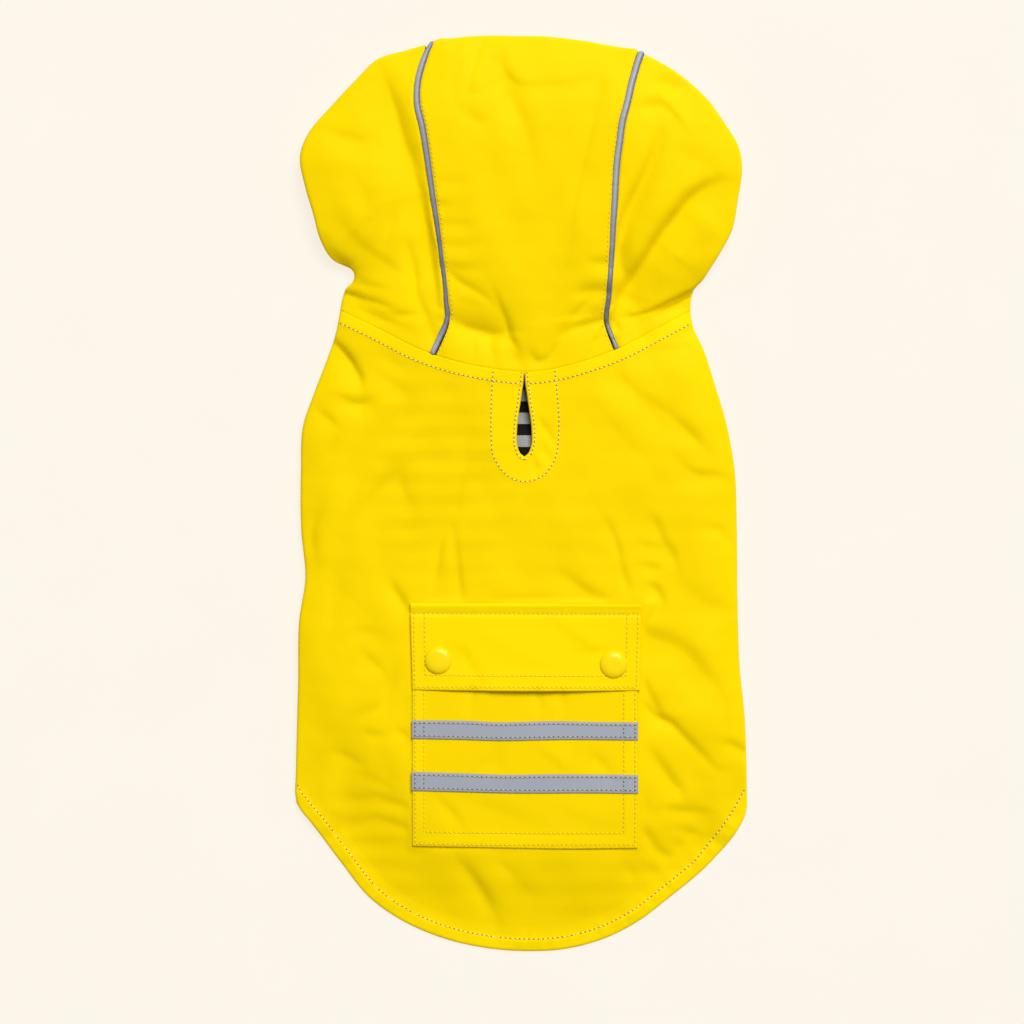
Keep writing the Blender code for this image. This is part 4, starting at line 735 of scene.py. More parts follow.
def add(tree, kind, values=None, **settings):
    """A shader node, with its settings and with values or links for its inputs."""
    node = tree.nodes.new("ShaderNode" + kind)
    for key, value in settings.items():
        setattr(node, key, value)
    for socket, value in (values or {}).items():
        if isinstance(value, bpy.types.NodeSocket):
            tree.links.new(value, node.inputs[socket])
        else:
            node.inputs[socket].default_value = value
    return node


def worked_out(tree, operation, *values):
    """The result of a sum with numbers or links."""
    return add(tree, "Math", dict(enumerate(values)), operation=operation).outputs[0]


def new_group(name, inputs, outputs):
    """A shader node group with number or vector inputs and number outputs."""
    tree = bpy.data.node_groups.new(name, "ShaderNodeTree")
    for socket, value in inputs.items():
        kind = "NodeSocketVector" if value is None else "NodeSocketFloat"
        made = tree.interface.new_socket(socket, in_out="INPUT", socket_type=kind)
        if value is not None:
            made.default_value = value
    for socket in outputs:
        tree.interface.new_socket(socket, in_out="OUTPUT", socket_type="NodeSocketFloat")
    return tree, tree.nodes.new("NodeGroupInput").outputs, tree.nodes.new("NodeGroupOutput").inputs


def cloth_grain_group():
    """Fine even grain of a coated or woven face, and slow tone changes from handling."""
    tree, given, made = new_group("Cloth grain", {"Place": None, "Grain": 3500.0}, ["Height", "Tone"])
    fine = add(tree, "TexNoise", {"Vector": given["Place"], "Scale": given["Grain"], "Detail": 2.0})
    slow = add(tree, "TexNoise", {"Vector": given["Place"], "Scale": 17.0, "Detail": 3.0})
    tone = add(tree, "MapRange", {"Value": slow.outputs[0], "From Min": 0.3, "From Max": 0.7})
    tree.links.new(fine.outputs[0], made["Height"])
    tree.links.new(tone.outputs[0], made["Tone"])
    return tree


def stripes_group():
    """Even stripes across the coat, as broad as the gaps between them."""
    tree, given, made = new_group(
        "Stripes", {"Place": None, "Pitch": 0.012, "Start": 0.0, "Softness": 0.02, "Wander": 0.0006},
        ["Stripe"],
    )
    wander = add(tree, "TexNoise", {"Vector": given["Place"], "Scale": 30.0})
    y = add(tree, "SeparateXYZ", {"Vector": given["Place"]}).outputs["Y"]
    bent = worked_out(tree, "MULTIPLY_ADD", wander.outputs[0], given["Wander"], y)
    moved = worked_out(tree, "SUBTRACT", bent, given["Start"])
    angle = worked_out(tree, "MULTIPLY", worked_out(tree, "DIVIDE", moved, given["Pitch"]), 2 * math.pi)
    low = worked_out(tree, "MULTIPLY", given["Softness"], -1.0)
    sharp = add(tree, "MapRange", {
        "Value": worked_out(tree, "SINE", angle), "From Min": low, "From Max": given["Softness"],
    })
    tree.links.new(sharp.outputs[0], made["Stripe"])
    return tree


def seam_pucker_group():
    """Cloth pulled in along a row of stitches, from the gap and run stored on its points."""
    tree, given, made = new_group("Seam pucker", {"Pull": 1.0}, ["Height"])
    gap = add(tree, "Attribute", attribute_name="seam_gap").outputs["Fac"]
    run = add(tree, "Attribute", attribute_name="seam_run").outputs["Fac"]
    groove = add(tree, "MapRange", {"Value": gap, "From Max": 0.9}, interpolation_type="SMOOTHSTEP")
    near = add(tree, "MapRange", {
        "Value": gap, "From Min": 0.3, "From Max": 3.4, "To Min": 1.0, "To Max": 0.0,
    }, interpolation_type="SMOOTHSTEP")
    wobble = add(tree, "TexNoise", {"W": run, "Scale": 0.34, "Detail": 1.0}, noise_dimensions="1D")
    ripple = worked_out(tree, "MULTIPLY", wobble.outputs[0], near.outputs[0])
    height = worked_out(tree, "MULTIPLY_ADD", ripple, 0.9, groove.outputs[0])
    tree.links.new(worked_out(tree, "MULTIPLY", height, given["Pull"]), made["Height"])
    return tree


CLOTH_GRAIN = cloth_grain_group()
STRIPES = stripes_group()
SEAM_PUCKER = seam_pucker_group()


def new_finish(name, roughness, specular, fineness):
    """A material, its nodes and shader, the place that its patterns are drawn from, its grain."""
    material = bpy.data.materials.new(name)
    material.use_nodes = True
    tree = material.node_tree
    shader = tree.nodes["Principled BSDF"]
    shader.inputs["Roughness"].default_value = roughness
    shader.inputs["Specular IOR Level"].default_value = specular
    place = add(tree, "TexCoord").outputs["Object"]
    grain = add(tree, "Group", {"Place": place, "Grain": fineness}, node_tree=CLOTH_GRAIN).outputs
    return material, tree, shader, place, grain


def mixed(tree, factor, first, second):
    """Colour between two colours, each a socket or four numbers."""
    return add(tree, "Mix", {0: factor, 6: first, 7: second}, data_type="RGBA").outputs[2]


def toned_finish(name, roughness, specular, fineness, pattern, light, dark):
    """A plain material between two tones, in the fine or the slow pattern of the grain."""
    material, tree, shader, place, grain = new_finish(name, roughness, specular, fineness)
    tree.links.new(mixed(tree, grain[pattern], light, dark), shader.inputs["Base Color"])
    return material


def shell_cloth():
    """Bright yellow coated cloth, smooth and semi-matte. Its lining darkens it a little where it
    is single, and shows its stripes where it lies close behind."""
    material, tree, shader, place, grain = new_finish("Yellow rain cloth", 0.5, 0.02, 2600.0)
    stripes = add(tree, "Group", {
        "Place": place, "Pitch": STRIPE_PITCH * MM, "Start": STRIPE_START * MM, "Softness": 0.8,
        "Wander": 0.0035,
    }, node_tree=STRIPES)
    patches = add(tree, "TexNoise", {"Vector": place, "Scale": 32.0, "Detail": 2.0})
    shown = add(tree, "MapRange", {"Value": patches.outputs[0], "From Min": 0.2, "From Max": 0.52})
    near = add(tree, "Attribute", attribute_name="stripes_near").outputs["Fac"]
    dark = worked_out(tree, "SUBTRACT", 1.0, stripes.outputs[0])
    seen = worked_out(tree, "MULTIPLY", dark, shown.outputs[0])
    through = worked_out(tree, "MULTIPLY", seen, near)
    single = add(tree, "Attribute", attribute_name="single").outputs["Fac"]
    clear = (0.955, 0.700, 0.0006, 1.0)
    aged = (0.945, 0.680, 0.0006, 1.0)
    lined = (0.920, 0.655, 0.0005, 1.0)
    over_dark = (0.860, 0.600, 0.0004, 1.0)
    backed = mixed(tree, single, mixed(tree, grain["Tone"], clear, aged), lined)
    tree.links.new(mixed(tree, through, backed, over_dark), shader.inputs["Base Color"])
    gloss = add(tree, "MapRange", {"Value": grain["Height"], "To Min": 0.42, "To Max": 0.58})
    tree.links.new(gloss.outputs[0], shader.inputs["Roughness"])
    pucker = add(tree, "Group", node_tree=SEAM_PUCKER)
    pulled = add(tree, "Bump", {"Height": pucker.outputs[0], "Strength": 0.5, "Distance": 0.25 * MM})
    bump = add(tree, "Bump", {
        "Height": grain["Height"], "Strength": 0.25, "Distance": 0.06 * MM,
        "Normal": pulled.outputs[0],
    })
    tree.links.new(bump.outputs[0], shader.inputs["Normal"])
    return material


def striped_lining():
    """Soft jersey knitted in even stripes of black and grey."""
    material, tree, shader, place, grain = new_finish("Striped jersey", 0.9, 0.1, 1600.0)
    stripes = add(tree, "Group", {
        "Place": place, "Pitch": STRIPE_PITCH * MM, "Start": STRIPE_START * MM, "Softness": 0.06,
    }, node_tree=STRIPES)
    # partly painted shade: the grey is set darker than the jersey's own, for the lining that lies deep and
    # dim under the slit
    grey = mixed(tree, grain["Height"], (0.31, 0.31, 0.305, 1.0), (0.41, 0.41, 0.405, 1.0))
    color = mixed(tree, stripes.outputs[0], (0.010, 0.009, 0.008, 1.0), grey)
    tree.links.new(color, shader.inputs["Base Color"])
    knit = add(tree, "TexWave", {
        "Vector": place, "Scale": 900.0, "Distortion": 2.0,
    }, bands_direction="X")
    bump = add(tree, "Bump", {"Height": knit.outputs["Fac"], "Strength": 0.5, "Distance": 0.15 * MM})
    tree.links.new(bump.outputs[0], shader.inputs["Normal"])
    return material


SHELL = shell_cloth()
LINING = striped_lining()


def body_plan(down, across):
    """Grid of places on the back panel, at these parts of its length and of its width."""
    left = along(LEFT_FOLD, down)[:, :2]
    right = along(RIGHT_FOLD, down)[:, :2]
    return fill_plan(left, right, across, along(NECK_SEAM, across), along(HEM, across), down)


def panel_parts():
    """Parts of the back panel's length and width with a row or column, and the slit's column."""
    across = edge_spacing(BODY_WIDTH, CLOTH_STEP, FOLD_COLUMNS, FOLD_COLUMNS)
    down = edge_spacing(BODY_LENGTH, CLOTH_STEP, END_ROWS, END_ROWS)
    slit_start = np.interp(KEYHOLE_X, NECK_LINE[:, 0], np.linspace(0, 1, len(NECK_LINE)))
    fine = slit_start + np.array(SLIT_COLUMNS) / BODY_WIDTH
    kept = np.abs(across - slit_start) * BODY_WIDTH > SLIT_CLEAR
    across = np.sort(np.concatenate([across[kept], fine]))
    column = int(np.abs(across - slit_start).argmin())
    dense = np.linspace(0, 1, 500)
    slit_y = body_plan(dense, across[column : column + 1])[:, 0, 1]
    ends = np.interp(-np.array(SLIT_END_ROWS), -slit_y, dense)
    kept = (down < ends[0] - ROW_CLEAR) | (down > ends[-1] + ROW_CLEAR)
    return np.sort(np.concatenate([down[kept], ends])), across, column


def open_slit(plan, column):
    """Opens a plan along one column. Gives the slit's rows, and the places on its right side."""
    middle = plan[:, column].copy()
    shift = (KEYHOLE_X - middle[:, 0]) * soft_step(middle[:, 1] / SLIT_STRAIGHT)
    reach = np.exp(-(((plan[..., 0] - middle[:, :1]) / SLIT_PULL) ** 2))
    plan[..., 0] += shift[:, None] * reach
    half = keyhole_half_width(plan[:, column, 1])
    offset = plan[..., 0] - plan[:, column, :1]
    spread = half[:, None] * np.exp(-np.abs(offset) / SLIT_SPREAD)
    plan[..., 0] += np.where(offset > 1e-6, spread, -spread)
    slit_rows = np.flatnonzero(half > 0.02)
    right_side = plan[slit_rows, column].copy()
    right_side[:, 0] += 2 * half[slit_rows]
    return slit_rows, right_side


def back_panel_rows():
    """Rows of the back panel's outer face, and its slit: column, rows and right-hand points."""
    down, across, column = panel_parts()
    plan = body_plan(down, across)
    slit_rows, right_side = open_slit(plan, column)
    upper = lifted(plan, panel_height)
    columns = []
    for side, fold, inward in ((0, LEFT_FOLD, TURNED_UNDER), (-1, RIGHT_FOLD, -TURNED_UNDER)):
        place = plan[:, side]
        turned = edge_round(gap_to(NECK_LINE, place), NECK_ROUND) + hem_round(place)
        rim = np.maximum(edge_height(place, along(fold, down)[:, 2]) - turned, LOWEST_RIM)
        upper[:, side, 2] = rim
        columns.append(turned_under(place, rim, place + np.array([inward, 0.0]), 6))
    right_points = np.column_stack([right_side, panel_height(right_side)])
    middle = [upper[:, i] for i in range(len(across))]
    rows = np.stack(columns[0][::-1] + middle + columns[1], axis=1)
    return rows, (len(columns[0]) + column, slit_rows, right_points)


def single_body(places):
    """1 where the back panel is one layer of cloth, 0 in its hems and its facing."""
    neck = doubled(gap_to(NECK_LINE, places), NECK_ALLOWANCE, 0.6, 1.2)
    hem = doubled(gap_to(HEM_LINE, places), HEM_WIDTH, 0.6, 1.2)
    facing = soft_step((inside_facing(places) + 0.6) / 1.2)
    return (1 - neck) * (1 - hem) * (1 - facing)


rows, slit = back_panel_rows()
back_panel = make_cloth("back_panel_cloth", rows, [SHELL, LINING], slit)
mark_seams(back_panel, [NECK_STITCHING, HEM_STITCHING, FACING, KEYHOLE_EDGE])
mark_lining(back_panel, single_body(plan_of(back_panel)))
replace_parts(back_panel, "back_panel")

# Topstitching of the back panel. One row of cream thread runs below the neck seam, one inside
# the tail hem, one round the keyhole and one round its facing. Each stitch of a lockstitch
# machine goes down through a small needle hole, whose shade is painted as a flat dark oval.

STITCH = 2.5
THREAD_RADIUS = 0.26
THREAD_SIDES = 6
HOLE_RADIUS = 0.39
HOLE_STRETCH = 1.15       # a needle hole is a little longer than wide
HOLE_LIFT = 0.05
HOLE_SIDES = 8
STITCH_PARTS = 8
THREAD_ARCH = [-0.05, 0.16, 0.24, 0.16, -0.05]   # heights along one stitch
THREAD_SWELL = [0.6, 1.0, 1.05, 1.0, 0.6]        # and its thickness there
ALONG_STITCH = [2, 3, 4, 5, 6]                   # where those are, of STITCH_PARTS
KEYHOLE_TURN_Y = 22.6     # below this the stitches round the slit follow its lower end
KEYHOLE_TURN = rows_of(Spot, [(-3.6, 20.4), (-2.1, 18.6), (0.0, 17.9), (2.1, 18.6), (3.6, 20.4)])
NECK_STITCH_GAP = 1.8     # from the slit's middle to the row below the neck seam


def thread_finish(name, light, dark):
    """Polyester thread with a soft twist."""
    return toned_finish(name, 0.6, 0.15, 4000.0, "Height", light, dark)


def hole_shade_finish(name, light, dark):
    """Painted shade: the dark colour of the shaded inside of a needle hole."""
    return toned_finish(name, 0.9, 0.0, 900.0, "Tone", light, dark)


CREAM = [
    thread_finish("Cream thread", (1.0, 0.88, 0.44, 1.0), (0.94, 0.78, 0.26, 1.0)),
    hole_shade_finish("Needle hole", (0.42, 0.25, 0.006, 1.0), (0.26, 0.14, 0.004, 1.0)),
]
YELLOW = [
    thread_finish("Yellow thread", (0.95, 0.76, 0.09, 1.0), (0.88, 0.66, 0.03, 1.0)),
    hole_shade_finish("Shallow needle hole", (0.78, 0.51, 0.003, 1.0), (0.66, 0.41, 0.002, 1.0)),
]
MATCHED = [
    thread_finish("Matched thread", (0.96, 0.74, 0.03, 1.0), (0.93, 0.69, 0.02, 1.0)),
    hole_shade_finish("Faint needle hole", (0.90, 0.63, 0.003, 1.0), (0.85, 0.58, 0.002, 1.0)),
]


def resampled(line, fractions):
    """Places at these parts of a line's length."""
    line = np.asarray(line, float)
    lengths = lengths_of(line)
    at = np.asarray(fractions) * lengths[-1]
    return np.column_stack([np.interp(at, lengths, values) for values in line.T])


def stitch_rings(places, run, count, height_of):
    """Rings of points round the thread of each of count stitches."""
    picked = (np.arange(count)[:, None] * STITCH_PARTS + np.array(ALONG_STITCH)).ravel()
    across = np.column_stack([run[picked, 1], -run[picked, 0]])
    height = height_of(places[picked]) + np.tile(THREAD_ARCH, count)
    size = THREAD_RADIUS * np.tile(THREAD_SWELL, count)[:, None]
    turns = np.linspace(0, 2 * math.pi, THREAD_SIDES, endpoint=False)[None]
    sideways = size * np.cos(turns)
    return np.dstack([
        places[picked, :1] + across[:, :1] * sideways,
        places[picked, 1:] + across[:, 1:] * sideways,
        height[:, None] + size * np.sin(turns),
    ])


def needle_holes(places, run, height_of):
    """Flat ovals of points, one at each end of a stitch, painted dark as the shade in its needle hole."""
    turns = np.linspace(0, 2 * math.pi, HOLE_SIDES, endpoint=False)[None, :, None]
    direction = run[::STITCH_PARTS][:, None]
    across = np.dstack([direction[..., 1], -direction[..., 0]])
    round_place = HOLE_STRETCH * np.cos(turns) * direction + np.sin(turns) * across
    edge = places[::STITCH_PARTS][:, None] + HOLE_RADIUS * round_place
    return lifted(edge, height_of) + (0.0, 0.0, HOLE_LIFT)


def sew(name, lines, height_of, step=STITCH, colors=CREAM):
    """Rows of stitches on a surface, as one piece of threads and needle holes."""
    points, faces, kinds, total = [], [], [], 0
    for line in lines:
        line = np.asarray(line, float)
        count = max(1, round(lengths_of(line)[-1] / step))
        places = resampled(line, np.linspace(0, 1, count * STITCH_PARTS + 1))
        run = np.gradient(places, axis=0)
        run /= np.linalg.norm(run, axis=1, keepdims=True)
        rings = stitch_rings(places, run, count, height_of).reshape(-1, 3)
        number = total + np.arange(len(rings)).reshape(count, len(ALONG_STITCH), THREAD_SIDES)
        threads = ring_faces(number) + number[:, 0].tolist() + number[:, -1, ::-1].tolist()
        holes = needle_holes(places, run, height_of).reshape(-1, 3)
        total += len(rings)
        openings = (total + np.arange(len(holes)).reshape(-1, HOLE_SIDES))[:, ::-1].tolist()
        total += len(holes)
        points += [rings, holes]
        faces += threads + openings
        kinds += [0] * len(threads) + [1] * len(openings)
    piece = new_piece(name, np.vstack(points), faces, colors)
    piece.data.polygons.foreach_set("material_index", np.array(kinds, np.int32))
    return piece


def keyhole_stitch_line():
    """Down beside the slit, round its lower end and up its other side."""
    straight = KEYHOLE_Y[KEYHOLE_Y > KEYHOLE_TURN_Y]
    reach = keyhole_half_width(straight) + KEYHOLE_HEM
    left = np.column_stack([KEYHOLE_X - reach, straight])
    right = np.column_stack([KEYHOLE_X + reach, straight])[::-1]
    return np.vstack([left, [(KEYHOLE_X + x, y) for x, y in KEYHOLE_TURN], right])


left_neck = NECK_STITCHING[NECK_STITCHING[:, 0] < KEYHOLE_X - NECK_STITCH_GAP]
right_neck = NECK_STITCHING[NECK_STITCHING[:, 0] > KEYHOLE_X + NECK_STITCH_GAP]
panel_stitches = [
    sew("neck_stitches", [left_neck, right_neck], panel_height),
    sew("hem_stitches", [HEM_STITCHING], panel_height),
    sew("facing_stitches", [FACING], panel_height, 2.4),
    sew("keyhole_stitches", [keyhole_stitch_line()], panel_height, 2.3),
]

# Chest and belly panel. Rain cloth again, flat on the surface under the back panel and sewn to
# its turned-under sides, with a narrow rolled hem round each of its two leg holes. Only its
# hems and the lining above it ever show.

LEG_HOLE = Spot(55.0, 38.0)
LEG_HOLE_SIZE = (20.0, 27.0)
LEG_HEM = 1.1             # radius of the rolled hem
HARD_ANGLE = 50.0         # the same as CUT_ANGLE, for flat cloth and hard parts
LEG_STITCHED = 4.0        # from the hole's edge to its stitches
BELLY_END_SIDE = -150.0
BELLY_END_MIDDLE = -112.0
BELLY_EDGE_ROUND = 0.3


def belly_outline():
    """The panel's edge: its left side, its lower end and its right side."""
    inset = TURNED_UNDER + SEAM_GAP
    sides = []
    for fold, inward in ((LEFT_FOLD, 1), (RIGHT_FOLD, -1)):
        line = along(fold, np.linspace(0, 1, 90))
        kept = line[line[:, 1] > BELLY_END_SIDE]
        top = NECK_SEAM[0].y - SEAM_GAP
        sides.append([(x + inward * inset, min(y, top)) for x, y in kept[:, :2]])
    left, right = sides
    middle = (left[-1][0] + right[-1][0]) / 2
    reach = (right[-1][0] - left[-1][0]) / 2
    rise = BELLY_END_MIDDLE - BELLY_END_SIDE
    end = [
        (middle + reach * part, BELLY_END_SIDE + rise * math.cos(part * math.pi / 2))
        for part in np.linspace(-0.95, 0.95, 41)
    ]
    return left + end + right[::-1]


def leg_hole(side, wider=0.0):
    """The edge of a leg hole, or a line this much outside it."""
    turns = np.linspace(0, 2 * math.pi, 72, endpoint=False)
    across, length = LEG_HOLE_SIZE
    x = side * LEG_HOLE.x + (across + wider) * np.cos(turns)
    return np.column_stack([x, LEG_HOLE.y + (length + wider) * np.sin(turns)])


def flat_cloth(name, outlines):
    """Cloth lying flat, inside the first outline and outside the others, with soft edges."""
    curve = bpy.data.curves.new(name, "CURVE")
    curve.dimensions = "2D"
    curve.fill_mode = "BOTH"
    curve.bevel_depth = BELLY_EDGE_ROUND * MM
    curve.bevel_resolution = 2
    curve.extrude = (WALL / 2 - BELLY_EDGE_ROUND) * MM
    for outline in outlines:
        spline = curve.splines.new("POLY")
        spline.points.add(len(outline) - 1)
        for point, (x, y) in zip(spline.points, outline):
            point.co = (x * MM, y * MM, 0.0, 1.0)
        spline.use_cyclic_u = True
    drawn = bpy.data.objects.new(name + "_outline", curve)
    bpy.context.scene.collection.objects.link(drawn)
    graph = bpy.context.evaluated_depsgraph_get()
    mesh = bpy.data.meshes.new_from_object(drawn.evaluated_get(graph))
    bpy.data.objects.remove(drawn)
    mesh.transform(Matrix.Translation((0.0, 0.0, WALL / 2 * MM)))
    mesh.materials.clear()
    piece = placed(name, mesh, [SHELL, LINING])
    for face in mesh.polygons:
        face.material_index = 1 if face.normal.z > 0.9 else 0
    mesh.set_sharp_from_angle(angle=math.radians(HARD_ANGLE))
    return piece


def make_tube(name, path, radii, materials, corners=12, closed=False):
    """A round tube along a path, in millimetres, with its ends filled unless it is closed."""
    path = np.asarray(path, float)
    radii = np.broadcast_to(radii, len(path))
    if closed:
        run = np.roll(path, -1, axis=0) - np.roll(path, 1, axis=0)
    else:
        run = np.gradient(path, axis=0)
    run /= np.linalg.norm(run, axis=1, keepdims=True)
    side = np.cross(run[0], (0.0, 0.0, 1.0))
    turns = np.linspace(0, 2 * math.pi, corners, endpoint=False)
    rings = []
    for place, direction, radius in zip(path, run, radii):
        side = side - direction * (side @ direction)
        side /= np.linalg.norm(side)
        lift = np.cross(side, direction)
        rings.append(place + radius * (np.outer(np.cos(turns), side) + np.outer(np.sin(turns), lift)))
    number = np.arange(len(path) * corners).reshape(len(path), corners)
    if closed:
        faces = ring_faces(np.vstack([number, number[:1]]))
    else:
        faces = ring_faces(number) + [number[0].tolist(), number[-1, ::-1].tolist()]
    piece = new_piece(name, np.vstack(rings), faces, materials)
    store(piece, "tube_side", np.tile(np.abs(np.cos(turns)), len(path)))
    return piece


def belly_height(places):
    """Height of the panel's upper face."""
    return np.full(len(places), WALL)


front_panel = flat_cloth("front_panel_cloth", [belly_outline(), leg_hole(-1), leg_hole(1)])
leg_rows = []
for label, side in (("left", -1), ("right", 1)):
    line = leg_hole(side, LEG_HEM)
    path = np.column_stack([line, np.full(len(line), LEG_HEM)])
    make_tube("leg_hem_" + label, path, LEG_HEM, [SHELL], 10, True)
    sewn = leg_hole(side, LEG_STITCHED)
    leg_rows.append(np.vstack([sewn, sewn[:1]]))
leg_stitches = sew("leg_hole_stitches", leg_rows, belly_height)
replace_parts(front_panel, "front_panel")

# Lining seen through the keyhole. A panel of the same striped jersey lies loose inside the coat
# and billows up a little under the slit.

LINING_WIDTH = 54.0
LINING_TOP = 92.0
LINING_END = -30.0
LINING_HEIGHT = 2.8       # of its upper face where it lies flat
BILLOW = 4.2
BILLOW_SIZE = (15.0, 16.0)
BILLOW_Y = 24.0


def lining_height(places):
    """Height of the loose lining's upper face."""
    across = (places[:, 0] - KEYHOLE_X) / BILLOW_SIZE[0]
    length = (places[:, 1] - BILLOW_Y) / BILLOW_SIZE[1]
    return LINING_HEIGHT + BILLOW * np.exp(-(across**2) - length**2)


def lining_rows():
    """Rows of the loose lining's upper face."""
    x = np.linspace(KEYHOLE_X - LINING_WIDTH / 2, KEYHOLE_X + LINING_WIDTH / 2, 37)
    y = np.linspace(LINING_TOP, LINING_END, 82)
    return lifted(np.dstack(np.meshgrid(x, y)), lining_height)


front_lining = make_cloth("front_lining_jersey", lining_rows(), [LINING, LINING])
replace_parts(front_lining, "front_lining")

# Hood. A centre panel and two side panels of the same cloth, joined over piping. The hood lies
# on its open face, with its rim curled under, and its lower edge goes under the neck seam.

# Half the width of the left and of the right piping, which are pulled thin in places, and how much
# painted shade, from 0 to 1, darkens their colour there, where their bright face looks dark.
PipingRow = namedtuple("PipingRow", "y left right left_turned right_turned")
PIPING_ROWS = rows_of(PipingRow, [
    (238.0, 0.95, 1.2, 0.40, 0.10), (233.5, 1.4, 1.8, 0.45, 0.05), (228.0, 1.75, 1.9, 0.15, 0.15),
    (196.5, 1.8, 1.9, 0.30, 0.10), (170.5, 1.6, 1.8, 0.50, 0.00), (154.5, 1.45, 1.75, 0.60, 0.10),
    (138.5, 1.3, 1.65, 0.90, 0.35), (123.0, 1.1, 1.5, 0.95, 0.50), (107.0, 1.15, 1.5, 0.90, 0.90),
    (96.5, 1.4, 1.5, 0.75, 1.00), (88.5, 1.6, 1.4, 1.00, 0.80), (82.5, 1.65, 1.45, 0.15, 0.35),
    (74.0, 1.65, 1.4, 0.10, 0.40),
])
PIPING_LAP = 0.15         # how far the edge of each panel goes under the piping beside it
PIPING_DROP = 0.5         # how far a panel's edge goes down beside the piping
PIPING_SINK = 0.72        # of the piping's middle below the hood's surface
NECK_TUCK = 1.5           # how far the hood goes under the neck seam
NECK_DIP = 0.5            # how far it goes down there
NECK_DIP_START = 1.0      # distance above the seam where it begins to go down
NECK_DIP_FADE = 1.5       # length over which it goes down
NECK_END_FADE = 9.0       # length over which it comes out again at the seam's two ends
HOOD_BRIM = 23.0          # how far back the brim of the face is from the hood's top edge
HOOD_SIZE = (100.0, 166.0)   # usual width and length of the centre panel
HOOD_SIDE_WIDTH = 60.0
HOOD_SIDE_STEP = 1.5      # between two rows of a side panel
# Distances of the first rows or columns from the neck seam, a piping, the hood's top edge and
# the rolled edge of a side.
NECK_ROWS = [0.0, 0.5, 1.0, 1.35, 1.6, 1.85, 2.1, 2.4, 2.8, 3.5, 4.6]
SEAM_COLUMNS = [0.0, 0.2, 0.5, 0.9, 1.5, 2.3]
TOP_ROWS = [0.0, 0.15, 0.45, 0.9, 1.5, 2.3, 3.4]
SIDE_COLUMNS = [0.0, 0.15, 0.5, 1.1, 2.0, 3.2, 4.6]
TOPSTITCH = 2.5           # from a hood seam's line to its topstitching


def seam_with_rim(table, rim_spot):
    """A hood seam's line in plan, from the hood's top edge down to the neck."""
    seam = hood_rows(table, 8)[:, :2]
    parts = np.linspace(0, 1, 9)[:-1, None]
    start = np.array(rim_spot, float)
    return np.vstack([start + (seam[0] - start) * parts, seam])


LEFT_SEAM = seam_with_rim(HOOD_LEFT, HOOD_TOP[0])
RIGHT_SEAM = seam_with_rim(HOOD_RIGHT, HOOD_TOP[-1])


def neck_dip(places):
    """How far the hood's cloth has gone down on its way under the neck seam."""
    gap, where, side = nearest_on(NECK_LINE, places)
    above = np.where(side > 0, -gap, gap)
    return NECK_DIP * soft_step((NECK_DIP_START - above) / NECK_DIP_FADE)


def piping_value(y, side, columns):
    """A value of the piping at each y, from the left or right one of two columns of its rows."""
    rows = np.array(PIPING_ROWS)[::-1]
    return np.interp(y, rows[:, 0], rows[:, columns[0 if side < 0 else 1]])


def piping_radius(y, side):
    """Half the piping's width at each y. side is -1 for the left piping, 1 for the right one."""
    return piping_value(y, side, (1, 2))


def piping_painted_shade(y, side):
    """How much painted shade darkens the piping's colour at each y."""
    return piping_value(y, side, (3, 4))


def piping_dip(places):
    """How far the hood's cloth goes down beside the piping."""
    left = gap_to(LEFT_SEAM, places) - piping_radius(places[:, 1], -1)
    right = gap_to(RIGHT_SEAM, places) - piping_radius(places[:, 1], 1)
    return PIPING_DROP * (1 - soft_step((np.minimum(left, right) + 0.25) / 1.5)) ** 1.5


def panel_edge(seam, side, way):
    """The edge of a panel along one piping, to the right of the seam's direction when way is 1."""
    return beside(seam, way * (piping_radius(seam[:, 1:], side) - PIPING_LAP))


def hood_height(places):
    """Height of the hood's outer face."""
    places = np.asarray(places, float).reshape(-1, 2)
    return top_height(places) - neck_dip(places) - piping_dip(places)


def neck_tuck(x):
    """y of the hood's lower edge, which lies under the neck seam but for its two ends."""
    y = np.interp(x, NECK_LINE[:, 0], NECK_LINE[:, 1])
    inside = np.minimum(x - NECK_LINE[0, 0], NECK_LINE[-1, 0] - x)
    return y + SEAM_GAP / 2 - (NECK_TUCK + SEAM_GAP / 2) * soft_step(inside / NECK_END_FADE)


def hood_centre_rows():
    """Rows of the centre panel's outer face, from its end under the brim to the neck."""
    across = edge_spacing(HOOD_SIZE[0], CLOTH_STEP, SEAM_COLUMNS, SEAM_COLUMNS)
    down = edge_spacing(HOOD_SIZE[1], CLOTH_STEP, TOP_ROWS, NECK_ROWS)
    left = panel_edge(resampled(LEFT_SEAM, down), -1, -1)
    right = panel_edge(resampled(RIGHT_SEAM, down), 1, 1)
    edge = along(HOOD_TOP, np.linspace(0, 1, 200))
    top_x = left[0, 0] + (right[0, 0] - left[0, 0]) * across
    top = np.column_stack([top_x, np.interp(top_x, edge[:, 0], edge[:, 1])])
    bottom_x = left[-1, 0] + (right[-1, 0] - left[-1, 0]) * across
    bottom = np.column_stack([bottom_x, neck_tuck(bottom_x)])
    plan = fill_plan(left, right, across, top, bottom)
    upper = lifted(plan, hood_height)
    rim = edge_height(plan[0], HOOD_RIM) - piping_dip(plan[0])
    upper[0, :, 2] = rim
    below = turned_under(plan[0], rim, plan[0] - np.array([0.0, HOOD_BRIM]), 8)
    return np.concatenate([np.stack(below[::-1]), upper])


